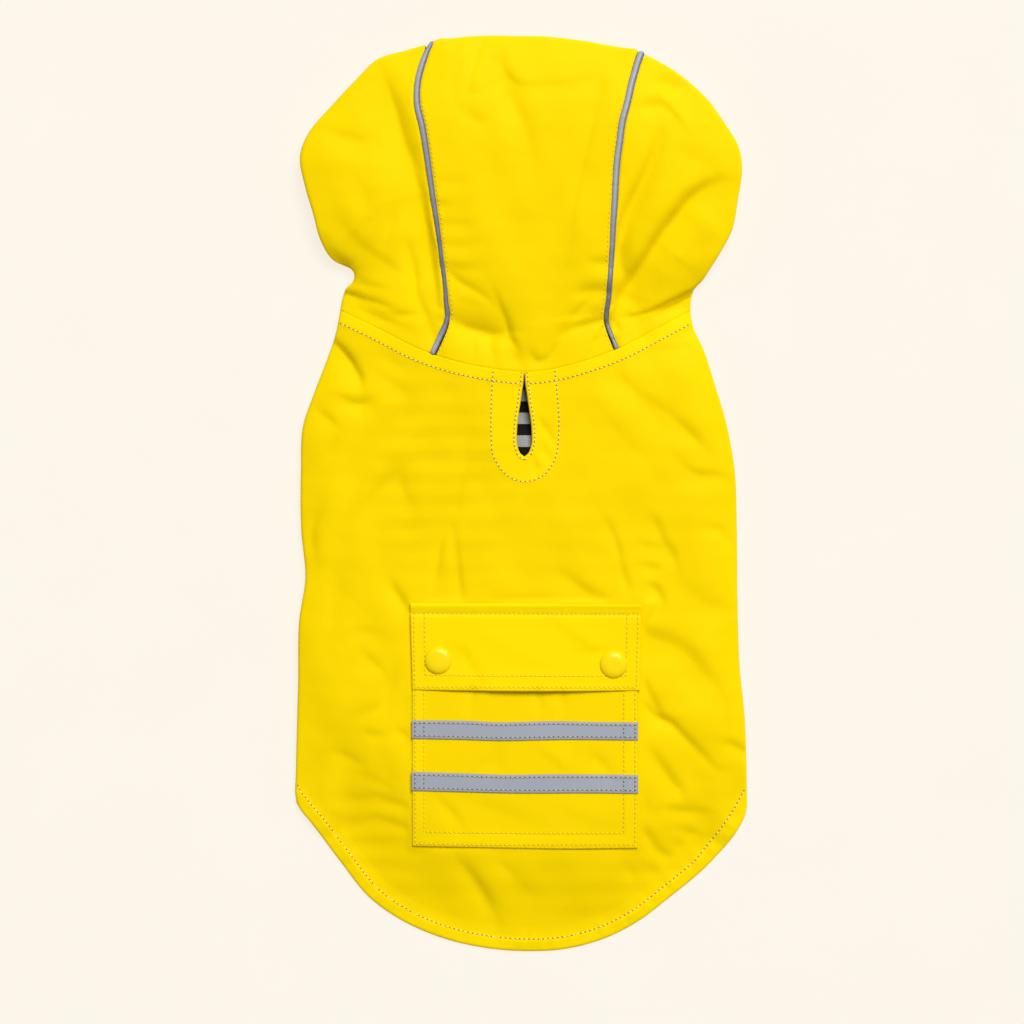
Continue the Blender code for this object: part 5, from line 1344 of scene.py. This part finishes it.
def hood_side_rows(table, seam_line, side):
    """Rows of a side panel's outer face. side is -1 for the left panel, 1 for the right one."""
    fine = hood_rows(table, 12)
    lengths = lengths_of(fine[:, :2])
    down = edge_spacing(lengths[-1], HOOD_SIDE_STEP, [0.0, 0.8], NECK_ROWS)
    rows = np.column_stack([np.interp(down * lengths[-1], lengths, values) for values in fine.T])
    across = edge_spacing(HOOD_SIDE_WIDTH, CLOTH_STEP, SIDE_COLUMNS, SEAM_COLUMNS)
    seam = panel_edge(rows[:, :2], side, -side)
    edge = rows[:, 2:4]
    neck_x = edge[-1, 0] + (seam[-1, 0] - edge[-1, 0]) * across
    plan = fill_plan(edge, seam, across, bottom=np.column_stack([neck_x, neck_tuck(neck_x)]))
    upper = lifted(plan, hood_height)
    rim = edge_height(plan[:, 0], rows[:, 4]) - neck_dip(plan[:, 0])
    upper[:, 0, 2] = rim
    below = turned_under(plan[:, 0], rim, rows[:, 5:7], 14)
    columns = below[::-1] + [upper[:, i] for i in range(len(across))]
    if side > 0:
        columns = columns[::-1]
    return np.stack(columns, axis=1)


left_topstitch = beside(resampled(LEFT_SEAM, np.linspace(0.19, 0.985, 200)), -TOPSTITCH)
right_topstitch = beside(resampled(RIGHT_SEAM, np.linspace(0.16, 0.985, 200)), TOPSTITCH)
hood_seams = [left_topstitch, right_topstitch]

hood_centre = make_cloth("hood_centre_cloth", hood_centre_rows(), [SHELL, LINING])
hood_left = make_cloth("hood_left_cloth", hood_side_rows(HOOD_LEFT, LEFT_SEAM, -1),
                       [SHELL, LINING])
hood_right = make_cloth("hood_right_cloth", hood_side_rows(HOOD_RIGHT, RIGHT_SEAM, 1),
                        [SHELL, LINING])
hood_stitches = sew("hood_stitches", hood_seams, hood_height, colors=MATCHED)
for piece, node in (
    (hood_centre, "hood_centre"), (hood_left, "hood_left"), (hood_right, "hood_right"),
):
    mark_seams(piece, hood_seams + [LEFT_SEAM, RIGHT_SEAM])
    mark_lining(piece, np.ones(len(piece.data.vertices)))
    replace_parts(piece, node)

# Piping. A cord wrapped in grey retroreflective cloth, caught in each hood seam. It runs from
# under the brim over the hood's top edge to the neck seam, and is crimped where the seam bends.

PIPING_TURNS = [90, 75, 60, 45, 30, 15, 0]   # degrees round the hood's top edge
PIPING_CLEAR = 0.06       # from the surface to the piping underneath
PIPING_BELOW = 1.2        # its radius under the brim
PIPING_RIPPLE = 0.045     # parts of its radius that it ripples by and is crimped by
PIPING_CRIMP = 0.16
CRIMP_LENGTH = 1.1


def reflective_finish(name, middle, edge, side_name):
    """Grey retroreflective cloth with fine glass beads. Its edges are bluish and darker; on the round
    piping cord this is painted shade on the sides that turn away.
    """
    material, tree, shader, place, grain = new_finish(name, 0.42, 0.35, 3000.0)
    light, shade, worn, painted_dark_grey = (
        [value * part for value in middle[:3]] + [1.0] for part in (1.10, 0.92, 0.88, 0.42)
    )
    beads = mixed(tree, grain["Height"], mixed(tree, grain["Tone"], worn, shade), light)
    # painted shade on the cord's sides: the colour goes over to the darker bluish edge colour there
    side = add(tree, "Attribute", attribute_name=side_name).outputs["Fac"]
    near = add(tree, "MapRange", {"Value": side, "From Min": 0.5, "From Max": 1.0})
    turned = add(tree, "Attribute", attribute_name="painted_shade").outputs["Fac"]
    # painted shade: the piping's colour goes towards a dull dark grey where its bright face looks dark
    color = mixed(tree, near.outputs[0], mixed(tree, turned, beads, painted_dark_grey), edge)
    tree.links.new(color, shader.inputs["Base Color"])
    bump = add(tree, "Bump", {"Height": grain["Height"], "Strength": 0.3, "Distance": 0.08 * MM})
    tree.links.new(bump.outputs[0], shader.inputs["Normal"])
    return material


PIPING = reflective_finish(
    "Reflective piping", (0.37, 0.39, 0.44, 1.0), (0.11, 0.12, 0.21, 1.0), "tube_side"
)


def piping_path(seam, side, crimp_y):
    """The piping's middle line and its radius along it."""
    over = resampled(seam, np.linspace(0, 1, 170))[1:]
    over_height = top_height(over) - neck_dip(over) - PIPING_SINK
    x, y = seam[0]
    rim = HOOD_RIM - PIPING_SINK
    top_edge = edge_height(seam[:1], HOOD_RIM)[0]
    lowest = PIPING_BELOW + PIPING_CLEAR
    path = [(x, y - part, lowest) for part in np.linspace(HOOD_BRIM - 1.0, rim + 1.0, 8)]
    for turn in np.radians(PIPING_TURNS):
        path.append((x, y - PIPING_SINK - rim * (1 - math.cos(turn)),
                     top_edge - (top_edge - lowest) * math.sin(turn)))
    path = np.vstack([path, np.column_stack([over, over_height])])
    under = path[:, 2] < top_edge
    radii = np.where(under, PIPING_BELOW, piping_radius(path[:, 1], side))
    ripple = PIPING_RIPPLE * np.sin(path[:, 1] * 1.9) * np.sin(path[:, 1] * 0.43 + 1.0)
    crimp = PIPING_CRIMP * np.exp(-(((path[:, 1] - crimp_y) / CRIMP_LENGTH) ** 2))
    return path, radii * (1 + ripple - crimp * ~under)


for name, seam, side, crimp_y in (
    ("piping_left", LEFT_SEAM, -1, 89.5), ("piping_right", RIGHT_SEAM, 1, 91.3),
):
    path, radii = piping_path(seam, side, crimp_y)
    piping = make_tube(name + "_cord", path, radii, [PIPING], 16)
    # painted shade along the piping, stored on its points
    store(piping, "painted_shade", piping_painted_shade(plan_of(piping)[:, 1], side))
    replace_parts(piping, name)

# Cargo pocket. A patch of rain cloth with turned edges, sewn to the back panel by two rows of
# stitches down both sides and along its lower edge.

LAY_GAP = 0.1
POCKET_WALL = 0.85
POCKET_SWELL = 1.3
EDGE_STEPS = [0.0, 0.12, 0.35, 0.7, 1.2, 2.0, 3.2]
POCKET_TOP = rows_of(Spot, [(-57.3, -71.0), (61.4, -72.0)])
POCKET_BOTTOM = rows_of(Spot, [(-57.3, -185.9), (-20.0, -186.5), (20.0, -187.2), (61.4, -187.1)])
POCKET_OUTER = rows_of(Spot, [
    (-55.8, -104.0), (-55.8, -184.5), (-10.0, -185.2), (60.0, -185.4), (60.0, -104.0),
])
POCKET_INNER = rows_of(Spot, [
    (-51.1, -104.0), (-51.1, -178.4), (0.0, -178.9), (54.0, -179.0), (54.0, -104.0),
])
POCKET_HEM = 6.2
PATCH_ANGLE = 60.0        # and the same for a patch with a round edge
POCKET_RISE = 0.25        # how much thicker its turned edges are
POCKET_CREASES = rows_of(Crease, [
    (5, 4, 0.3, [(-26, -104, -1.2), (-27, -111, -0.7), (-28, -118, -0.2)]),
    (3.5, 3.5, 0.3, [(8.5, -104, -0.8), (9.5, -111, -0.7), (9, -117, -0.2)]),
    (3.5, 3, 0.3, [(21, -104, -0.6), (22, -111, -0.6), (20, -117, -0.2)]),
    (5, 5, 0.2, [(-12, -132, -0.2), (-14, -140, -0.7), (-22, -146, -0.3)]),
    (4, 4, 0.2, [(10, -132, 0.2), (20, -140, 0.5), (26, -146, 0.2)]),
    (4, 4, 0.3, [(36, -136, -0.2), (42, -142, -0.8), (46, -147, -0.4)]),
    (4, 4, 0.3, [(-45, -160, -0.3), (-37, -168, -0.8), (-32, -175, -0.4)]),
    (8, 8, 0.0, [(-36, -160, -0.2), (-14, -168, -0.7), (8, -176, -0.3)]),
    (6, 6, 0.0, [(20, -162, 0.1), (34, -168, 0.4), (50, -172, 0.1)]),
])


def patch_plan(top, bottom, width, length, step=CLOTH_STEP, top_steps=EDGE_STEPS):
    """Grid of places between two edges, left to right from above, finer near every edge."""
    across = edge_spacing(width, step, EDGE_STEPS, EDGE_STEPS)
    down = edge_spacing(length, step, top_steps, EDGE_STEPS)[:, None, None]
    return along(top, across)[None] * (1 - down) + along(bottom, across)[None] * down


def border_of(plan):
    """The closed line round a grid, from its top left corner and down its left side."""
    return np.concatenate([plan[:, 0], plan[-1, 1:], plan[-2::-1, -1], plan[0, -2::-1]])


def make_patch(name, plan, height_of, wall, edge_radius, materials):
    """A closed piece of cloth over a grid of places, with rounded edges."""
    places = plan.reshape(-1, 2)
    upper = height_of(places)
    gap = gap_to(border_of(plan), places)
    points = np.vstack([
        np.column_stack([places, upper - edge_round(gap, edge_radius)]),
        np.column_stack([places, upper - wall]),
    ])
    count = len(places)
    index = np.arange(count).reshape(plan.shape[:2])
    loop = border_of(index)
    side = np.stack([loop[1:], loop[:-1], loop[:-1] + count, loop[1:] + count], axis=-1)
    faces = np.vstack([grid_faces(index), grid_faces(index + count)[:, ::-1], side])
    piece = new_piece(name, points, faces.tolist(), materials)
    piece.data.set_sharp_from_angle(angle=math.radians(PATCH_ANGLE))
    return piece


POCKET_PLAN = patch_plan(POCKET_TOP, POCKET_BOTTOM, 118.7, 115.0)


def parts_of(places, top, bottom):
    """How far across and down a patch each place is, from 0 to 1, by its top and bottom lines."""
    across = np.clip((places[:, 0] - top[0].x) / (top[-1].x - top[0].x), 0, 1)
    down = np.clip((top[0].y - places[:, 1]) / (top[0].y - bottom[0].y), 0, 1)
    return across, down


def pocket_lift(places):
    """How far the pocket's outer face stands above the back panel."""
    across, down = parts_of(places, POCKET_TOP, POCKET_BOTTOM)
    swell = POCKET_SWELL * np.sin(math.pi * across) * np.sin(math.pi * down) ** 0.7
    return LAY_GAP + POCKET_WALL + swell + folds_at(places, POCKET_CREASES)


def pocket_doubled(places):
    """1 in the turned edges of the pocket, 0 where it is one layer."""
    left, right, bottom = POCKET_TOP[0].x, POCKET_TOP[1].x, POCKET_BOTTOM[1].y
    gap = np.minimum(places[:, 0] - left, right - places[:, 0])
    gap = np.minimum(gap, places[:, 1] - bottom)
    return doubled(gap, POCKET_HEM, 0.7, 1.4)


def pocket_height(places):
    """Height of the pocket's outer face, with its thicker turned edges."""
    places = np.asarray(places, float).reshape(-1, 2)
    return top_height(places) + pocket_lift(places) + POCKET_RISE * pocket_doubled(places)


def smooth_corners(spots, step=1.0):
    """A line through corner spots, with places about a step apart."""
    line = np.array(spots, float)
    return resampled(line, np.linspace(0, 1, max(2, round(lengths_of(line)[-1] / step))))


pocket = make_patch("pocket_cloth", POCKET_PLAN, pocket_height, POCKET_WALL, 0.8, [SHELL])
pocket_lines = [smooth_corners(POCKET_OUTER), smooth_corners(POCKET_INNER)]
mark_seams(pocket, pocket_lines)
store(pocket, "single", 1 - pocket_doubled(plan_of(pocket)))
pocket_stitches = sew("pocket_stitches", pocket_lines, pocket_height, colors=YELLOW)
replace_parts(pocket, "pocket")

# Reflective tapes. Two bands of woven retroreflective tape lie across the pocket, and are sewn
# along both of their edges and at the pocket's sides. They waver a little.

TAPE_WALL = 0.7
TAPE_HEM = 1.5            # from a tape's edge to its stitches
TAPE_GAP = 0.12           # between a tape and the pocket
TAPE_STITCHED = np.linspace(0.014, 0.986, 120)   # parts of its length that are sewn
TAPE_UPPER = (
    rows_of(Spot, [
        (-57.5, -119.4), (-28.4, -119.6), (-11.6, -120.4), (2.0, -120.1), (18.7, -119.8), (35.5, -120.2),
        (61.5, -120.5),
    ]),
    rows_of(Spot, [
        (-57.5, -129.0), (-31.8, -129.4), (-12.0, -130.0), (4.0, -129.8), (18.7, -129.5), (61.5, -129.8),
    ]),
)
TAPE_LOWER = (
    rows_of(Spot, [
        (-57.7, -146.5), (-31.8, -147.2), (-4.9, -148.0), (10.3, -147.8), (35.5, -147.8), (61.6, -148.2),
    ]),
    rows_of(Spot, [(-57.7, -156.4), (-31.8, -157.0), (-4.9, -157.6), (35.5, -157.6), (61.6, -157.9)]),
)
GREY = [
    thread_finish("Grey thread", (0.56, 0.54, 0.46, 1.0), (0.46, 0.44, 0.37, 1.0)),
    hole_shade_finish("Needle hole in tape", (0.130, 0.125, 0.120, 1.0), (0.085, 0.080, 0.078, 1.0)),
]
TAPE = reflective_finish(
    "Reflective tape", (0.345, 0.365, 0.420, 1.0), (0.18, 0.21, 0.42, 1.0), "tape_edge"
)


def tape_height(places):
    """Height of a tape's outer face."""
    return pocket_height(places) + TAPE_WALL + TAPE_GAP


for name, (top, bottom) in (("tape_upper", TAPE_UPPER), ("tape_lower", TAPE_LOWER)):
    plan = patch_plan(top, bottom, 119.0, 9.8, 1.3)
    tape = make_patch(name + "_band", plan, tape_height, TAPE_WALL, 0.45, [TAPE])
    store(tape, "tape_edge", np.exp(-gap_to(border_of(plan), plan_of(tape)) / 0.5))
    upper_line = along(top, TAPE_STITCHED) - np.array([0.0, TAPE_HEM])
    lower_line = along(bottom, TAPE_STITCHED) + np.array([0.0, TAPE_HEM])
    across = []
    for x in (POCKET_OUTER[0].x, POCKET_INNER[0].x, POCKET_INNER[-1].x, POCKET_OUTER[-1].x):
        ends = [(x, np.interp(x, *line.T)) for line in (upper_line, lower_line)]
        across.append(smooth_corners(ends))
    lines = [upper_line, lower_line] + across
    stitches = sew(name + "_stitches", lines, tape_height, colors=GREY)
    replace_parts(tape, name)

# Pocket flap. A doubled piece of rain cloth, turned along a rolled upper edge and sewn down
# there, with one row of stitches round its edge and a second one inside it. Its lower edge
# bows up between the two snaps.

FLAP_TOP = rows_of(Spot, [(-58.5, -57.5), (0.0, -57.8), (63.2, -58.4)])
FLAP_BOTTOM = rows_of(Spot, [(-57.2, -103.4), (-20.0, -103.9), (25.0, -104.1), (62.5, -103.8)])
FLAP_STEP = 10.0          # length over which the flap climbs onto the pocket
FLAP_BOW = 2.5
FLAP_ROLL = 1.0           # height of the roll along its upper edge
FLAP_ROLL_Y = -59.2
FLAP_ROLL_WIDTH = 1.8
FLAP_GROOVE = 0.60        # depth of the groove that its upper stitches pull
FLAP_GROOVE_WIDTH = 0.9
FLAP_CREASES = rows_of(Crease, [
    (5, 5, 0.3, [(-38.5, -80.5, -0.21), (-31, -85, -0.77), (-24.5, -95, -0.63), (-20, -103, -0.35)]),
    (3, 3, 0.5, [(28, -84.5, -0.14), (35, -84, -0.42), (43, -82.5, -0.56)]),
    (5, 4, 0.3, [(18, -65, 0.14), (32, -75, 0.56), (42, -82, 0.28)]),
    (9, 8, 0.0, [(-30, -64, 0.07), (-6, -80, 0.49), (30, -92, 0.21)]),
    (3, 3, 0.2, [(-54, -78, 0.07), (-52, -68, 0.35), (-50, -65, 0.14)]),
])
FLAP_OUTER = rows_of(Spot, [(-56.6, -63.4), (-56.0, -102.0), (60.6, -102.2), (61.5, -63.9)])
FLAP_INNER = rows_of(Spot, [(-50.9, -63.4), (-50.7, -95.7), (55.2, -96.2), (55.7, -63.9)])
FLAP_TOP_LINE = rows_of(Spot, [(-56.6, -63.2), (0.0, -63.5), (61.5, -63.7)])
FLAP_ROWS = [0.0, 0.12, 0.35, 0.7, 1.2, 1.9, 2.7, 3.5, 4.3, 4.9, 5.4, 5.8, 6.2, 6.7, 7.4, 8.4]
FLAP_PLAN = patch_plan(FLAP_TOP, FLAP_BOTTOM, 120.5, 45.8, 1.4, FLAP_ROWS)


def flap_height(places):
    """Height of the flap's outer face."""
    places = np.asarray(places, float).reshape(-1, 2)
    climb = soft_step((FLAP_TOP[0].y - places[:, 1]) / FLAP_STEP)
    across, down = parts_of(places, FLAP_TOP, FLAP_BOTTOM)
    bow = FLAP_BOW * np.sin(math.pi * across) ** 2 * down**3
    roll = FLAP_ROLL * np.exp(-(((places[:, 1] - FLAP_ROLL_Y) / FLAP_ROLL_WIDTH) ** 2))
    stitched = np.interp(places[:, 0], *np.array(FLAP_TOP_LINE).T)
    groove = FLAP_GROOVE * np.exp(-(((places[:, 1] - stitched) / FLAP_GROOVE_WIDTH) ** 2))
    lift = LAY_GAP + POCKET_WALL + climb * pocket_lift(places) + bow + roll - groove
    return top_height(places) + lift + folds_at(places, FLAP_CREASES)


pocket_flap = make_patch("pocket_flap_cloth", FLAP_PLAN, flap_height, POCKET_WALL, 0.8, [SHELL])
flap_lines = [smooth_corners(FLAP_OUTER), smooth_corners(FLAP_INNER), smooth_corners(FLAP_TOP_LINE)]
mark_seams(pocket_flap, flap_lines)
flap_stitches = sew("flap_stitches", flap_lines, flap_height, colors=YELLOW)
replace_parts(pocket_flap, "pocket_flap")

# Snap fasteners. Each shows its domed cap, enamelled in the colour of the cloth and pressed
# onto the flap, with a rim that rounds down to it.

SnapRow = namedtuple("SnapRow", "radius height")
SNAP_RADIUS = 7.15
SNAP_CORNERS = 48
SNAP_GAP = 0.1            # between the cap and the flap
SNAP_CAP = rows_of(SnapRow, [
    (0.0, 1.98), (2.0, 1.97), (3.4, 1.93), (4.3, 1.84), (5.0, 1.68), (5.6, 1.48), (6.1, 1.27),
    (6.5, 1.02), (6.8, 0.74), (7.0, 0.46), (7.12, 0.26), (7.15, 0.12), (7.0, 0.0), (0.0, 0.0),
])


def enamel_finish():
    """Glossy yellow enamel with a faint unevenness."""
    material, tree, shader, place, grain = new_finish("Yellow enamel", 0.2, 0.2, 500.0)
    color = mixed(tree, grain["Tone"], (0.955, 0.690, 0.001, 1.0), (0.94, 0.67, 0.001, 1.0))
    tree.links.new(color, shader.inputs["Base Color"])
    gloss = add(tree, "MapRange", {"Value": grain["Height"], "To Min": 0.16, "To Max": 0.28})
    tree.links.new(gloss.outputs[0], shader.inputs["Roughness"])
    return material


ENAMEL = enamel_finish()


def make_snap(name, spot):
    """A turned cap, seated on the flap and tilted with it."""
    turns = np.linspace(0, 2 * math.pi, SNAP_CORNERS, endpoint=False)
    rows = SNAP_CAP[1:-1]
    points = [(0.0, 0.0, SNAP_CAP[0].height)]
    for radius, height in rows:
        points += [(radius * math.cos(turn), radius * math.sin(turn), height) for turn in turns]
    points.append((0.0, 0.0, 0.0))
    ring = 1 + np.arange(len(rows) * SNAP_CORNERS).reshape(len(rows), SNAP_CORNERS)
    turned = np.roll(ring, -1, axis=1).tolist()
    faces = ring_faces(ring)
    faces += [[0, a, b] for a, b in zip(ring[0].tolist(), turned[0])]
    faces += [[len(points) - 1, b, a] for a, b in zip(ring[-1].tolist(), turned[-1])]
    around = SNAP_RADIUS * np.array([(0, 0), (1, 0), (-1, 0), (0, 1), (0, -1)])
    middle, right, left, above, below = flap_height(np.array(spot) + around)
    seat = max(middle, (right + left + above + below) / 4) + SNAP_GAP
    tilt = Vector((left - right, below - above, 2 * SNAP_RADIUS)).to_track_quat("Z", "Y")
    points = np.array(points) @ np.array(tilt.to_matrix()).T + (spot.x, spot.y, seat)
    piece = new_piece(name, points, faces, [ENAMEL])
    piece.data.set_sharp_from_angle(angle=math.radians(HARD_ANGLE))
    return piece


for name, spot in (("snap_left", Spot(-43.5, -87.8)), ("snap_right", Spot(48.6, -90.0))):
    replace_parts(make_snap(name + "_cap", spot), name)

# Floor, light and camera. The coat lies on a plain pale surface under a large soft light from
# the upper right, and is photographed from straight above.

VIEW_X = -4.74
VIEW_Y = -9.74
VIEW_WIDTH = 539.0        # of the picture, at the coat's middle height
VIEW_HEIGHT = 10.0
CAMERA_DISTANCE = 2600.0
FLOOR_REACH = 3.0         # in metres, as is the height of its face
FLOOR_Z = -0.0001


def floor_finish():
    """Smooth pale board, which shines evenly by itself."""
    material = toned_finish("Pale floor", 0.8, 0.0, 300.0, "Tone",
                            (0.116, 0.110, 0.098, 1.0), (0.124, 0.118, 0.106, 1.0))
    shader = material.node_tree.nodes["Principled BSDF"]
    shader.inputs["Emission Color"].default_value = (0.85, 0.805, 0.72, 1.0)
    shader.inputs["Emission Strength"].default_value = 1.0
    return material


corners = [(x * FLOOR_REACH, y * FLOOR_REACH, FLOOR_Z) for x, y in ((-1, -1), (1, -1), (1, 1), (-1, 1))]
floor_mesh = bpy.data.meshes.new("floor")
floor_mesh.from_pydata(corners, [], [(0, 1, 2, 3)])
floor_mesh.materials.append(floor_finish())
floor = bpy.data.objects.new("floor", floor_mesh)
bpy.context.scene.collection.objects.link(floor)

lamp = bpy.data.lights.new("soft_light", "AREA")
lamp.shape = "DISK"
lamp.size = 4.4
lamp.energy = 560.0
light = bpy.data.objects.new("soft_light", lamp)
light.location = (1.85, 4.05, 5.85)
light.rotation_euler = light.location.to_track_quat("Z", "Y").to_euler()
bpy.context.scene.collection.objects.link(light)

world = bpy.data.worlds.new("Even light")
world.use_nodes = True
background = world.node_tree.nodes["Background"]
background.inputs["Color"].default_value = (1.0, 0.99, 0.97, 1.0)
background.inputs["Strength"].default_value = 0.32
bpy.context.scene.world = world
bpy.context.scene.view_settings.view_transform = "Standard"

lens = bpy.data.cameras.new("camera")
lens.sensor_fit = "HORIZONTAL"
lens.angle = 2 * math.atan(VIEW_WIDTH / 2 / CAMERA_DISTANCE)
camera = bpy.data.objects.new("camera", lens)
camera.location = Vector((VIEW_X, VIEW_Y, VIEW_HEIGHT + CAMERA_DISTANCE)) * MM
bpy.context.scene.collection.objects.link(camera)
bpy.context.scene.camera = camera
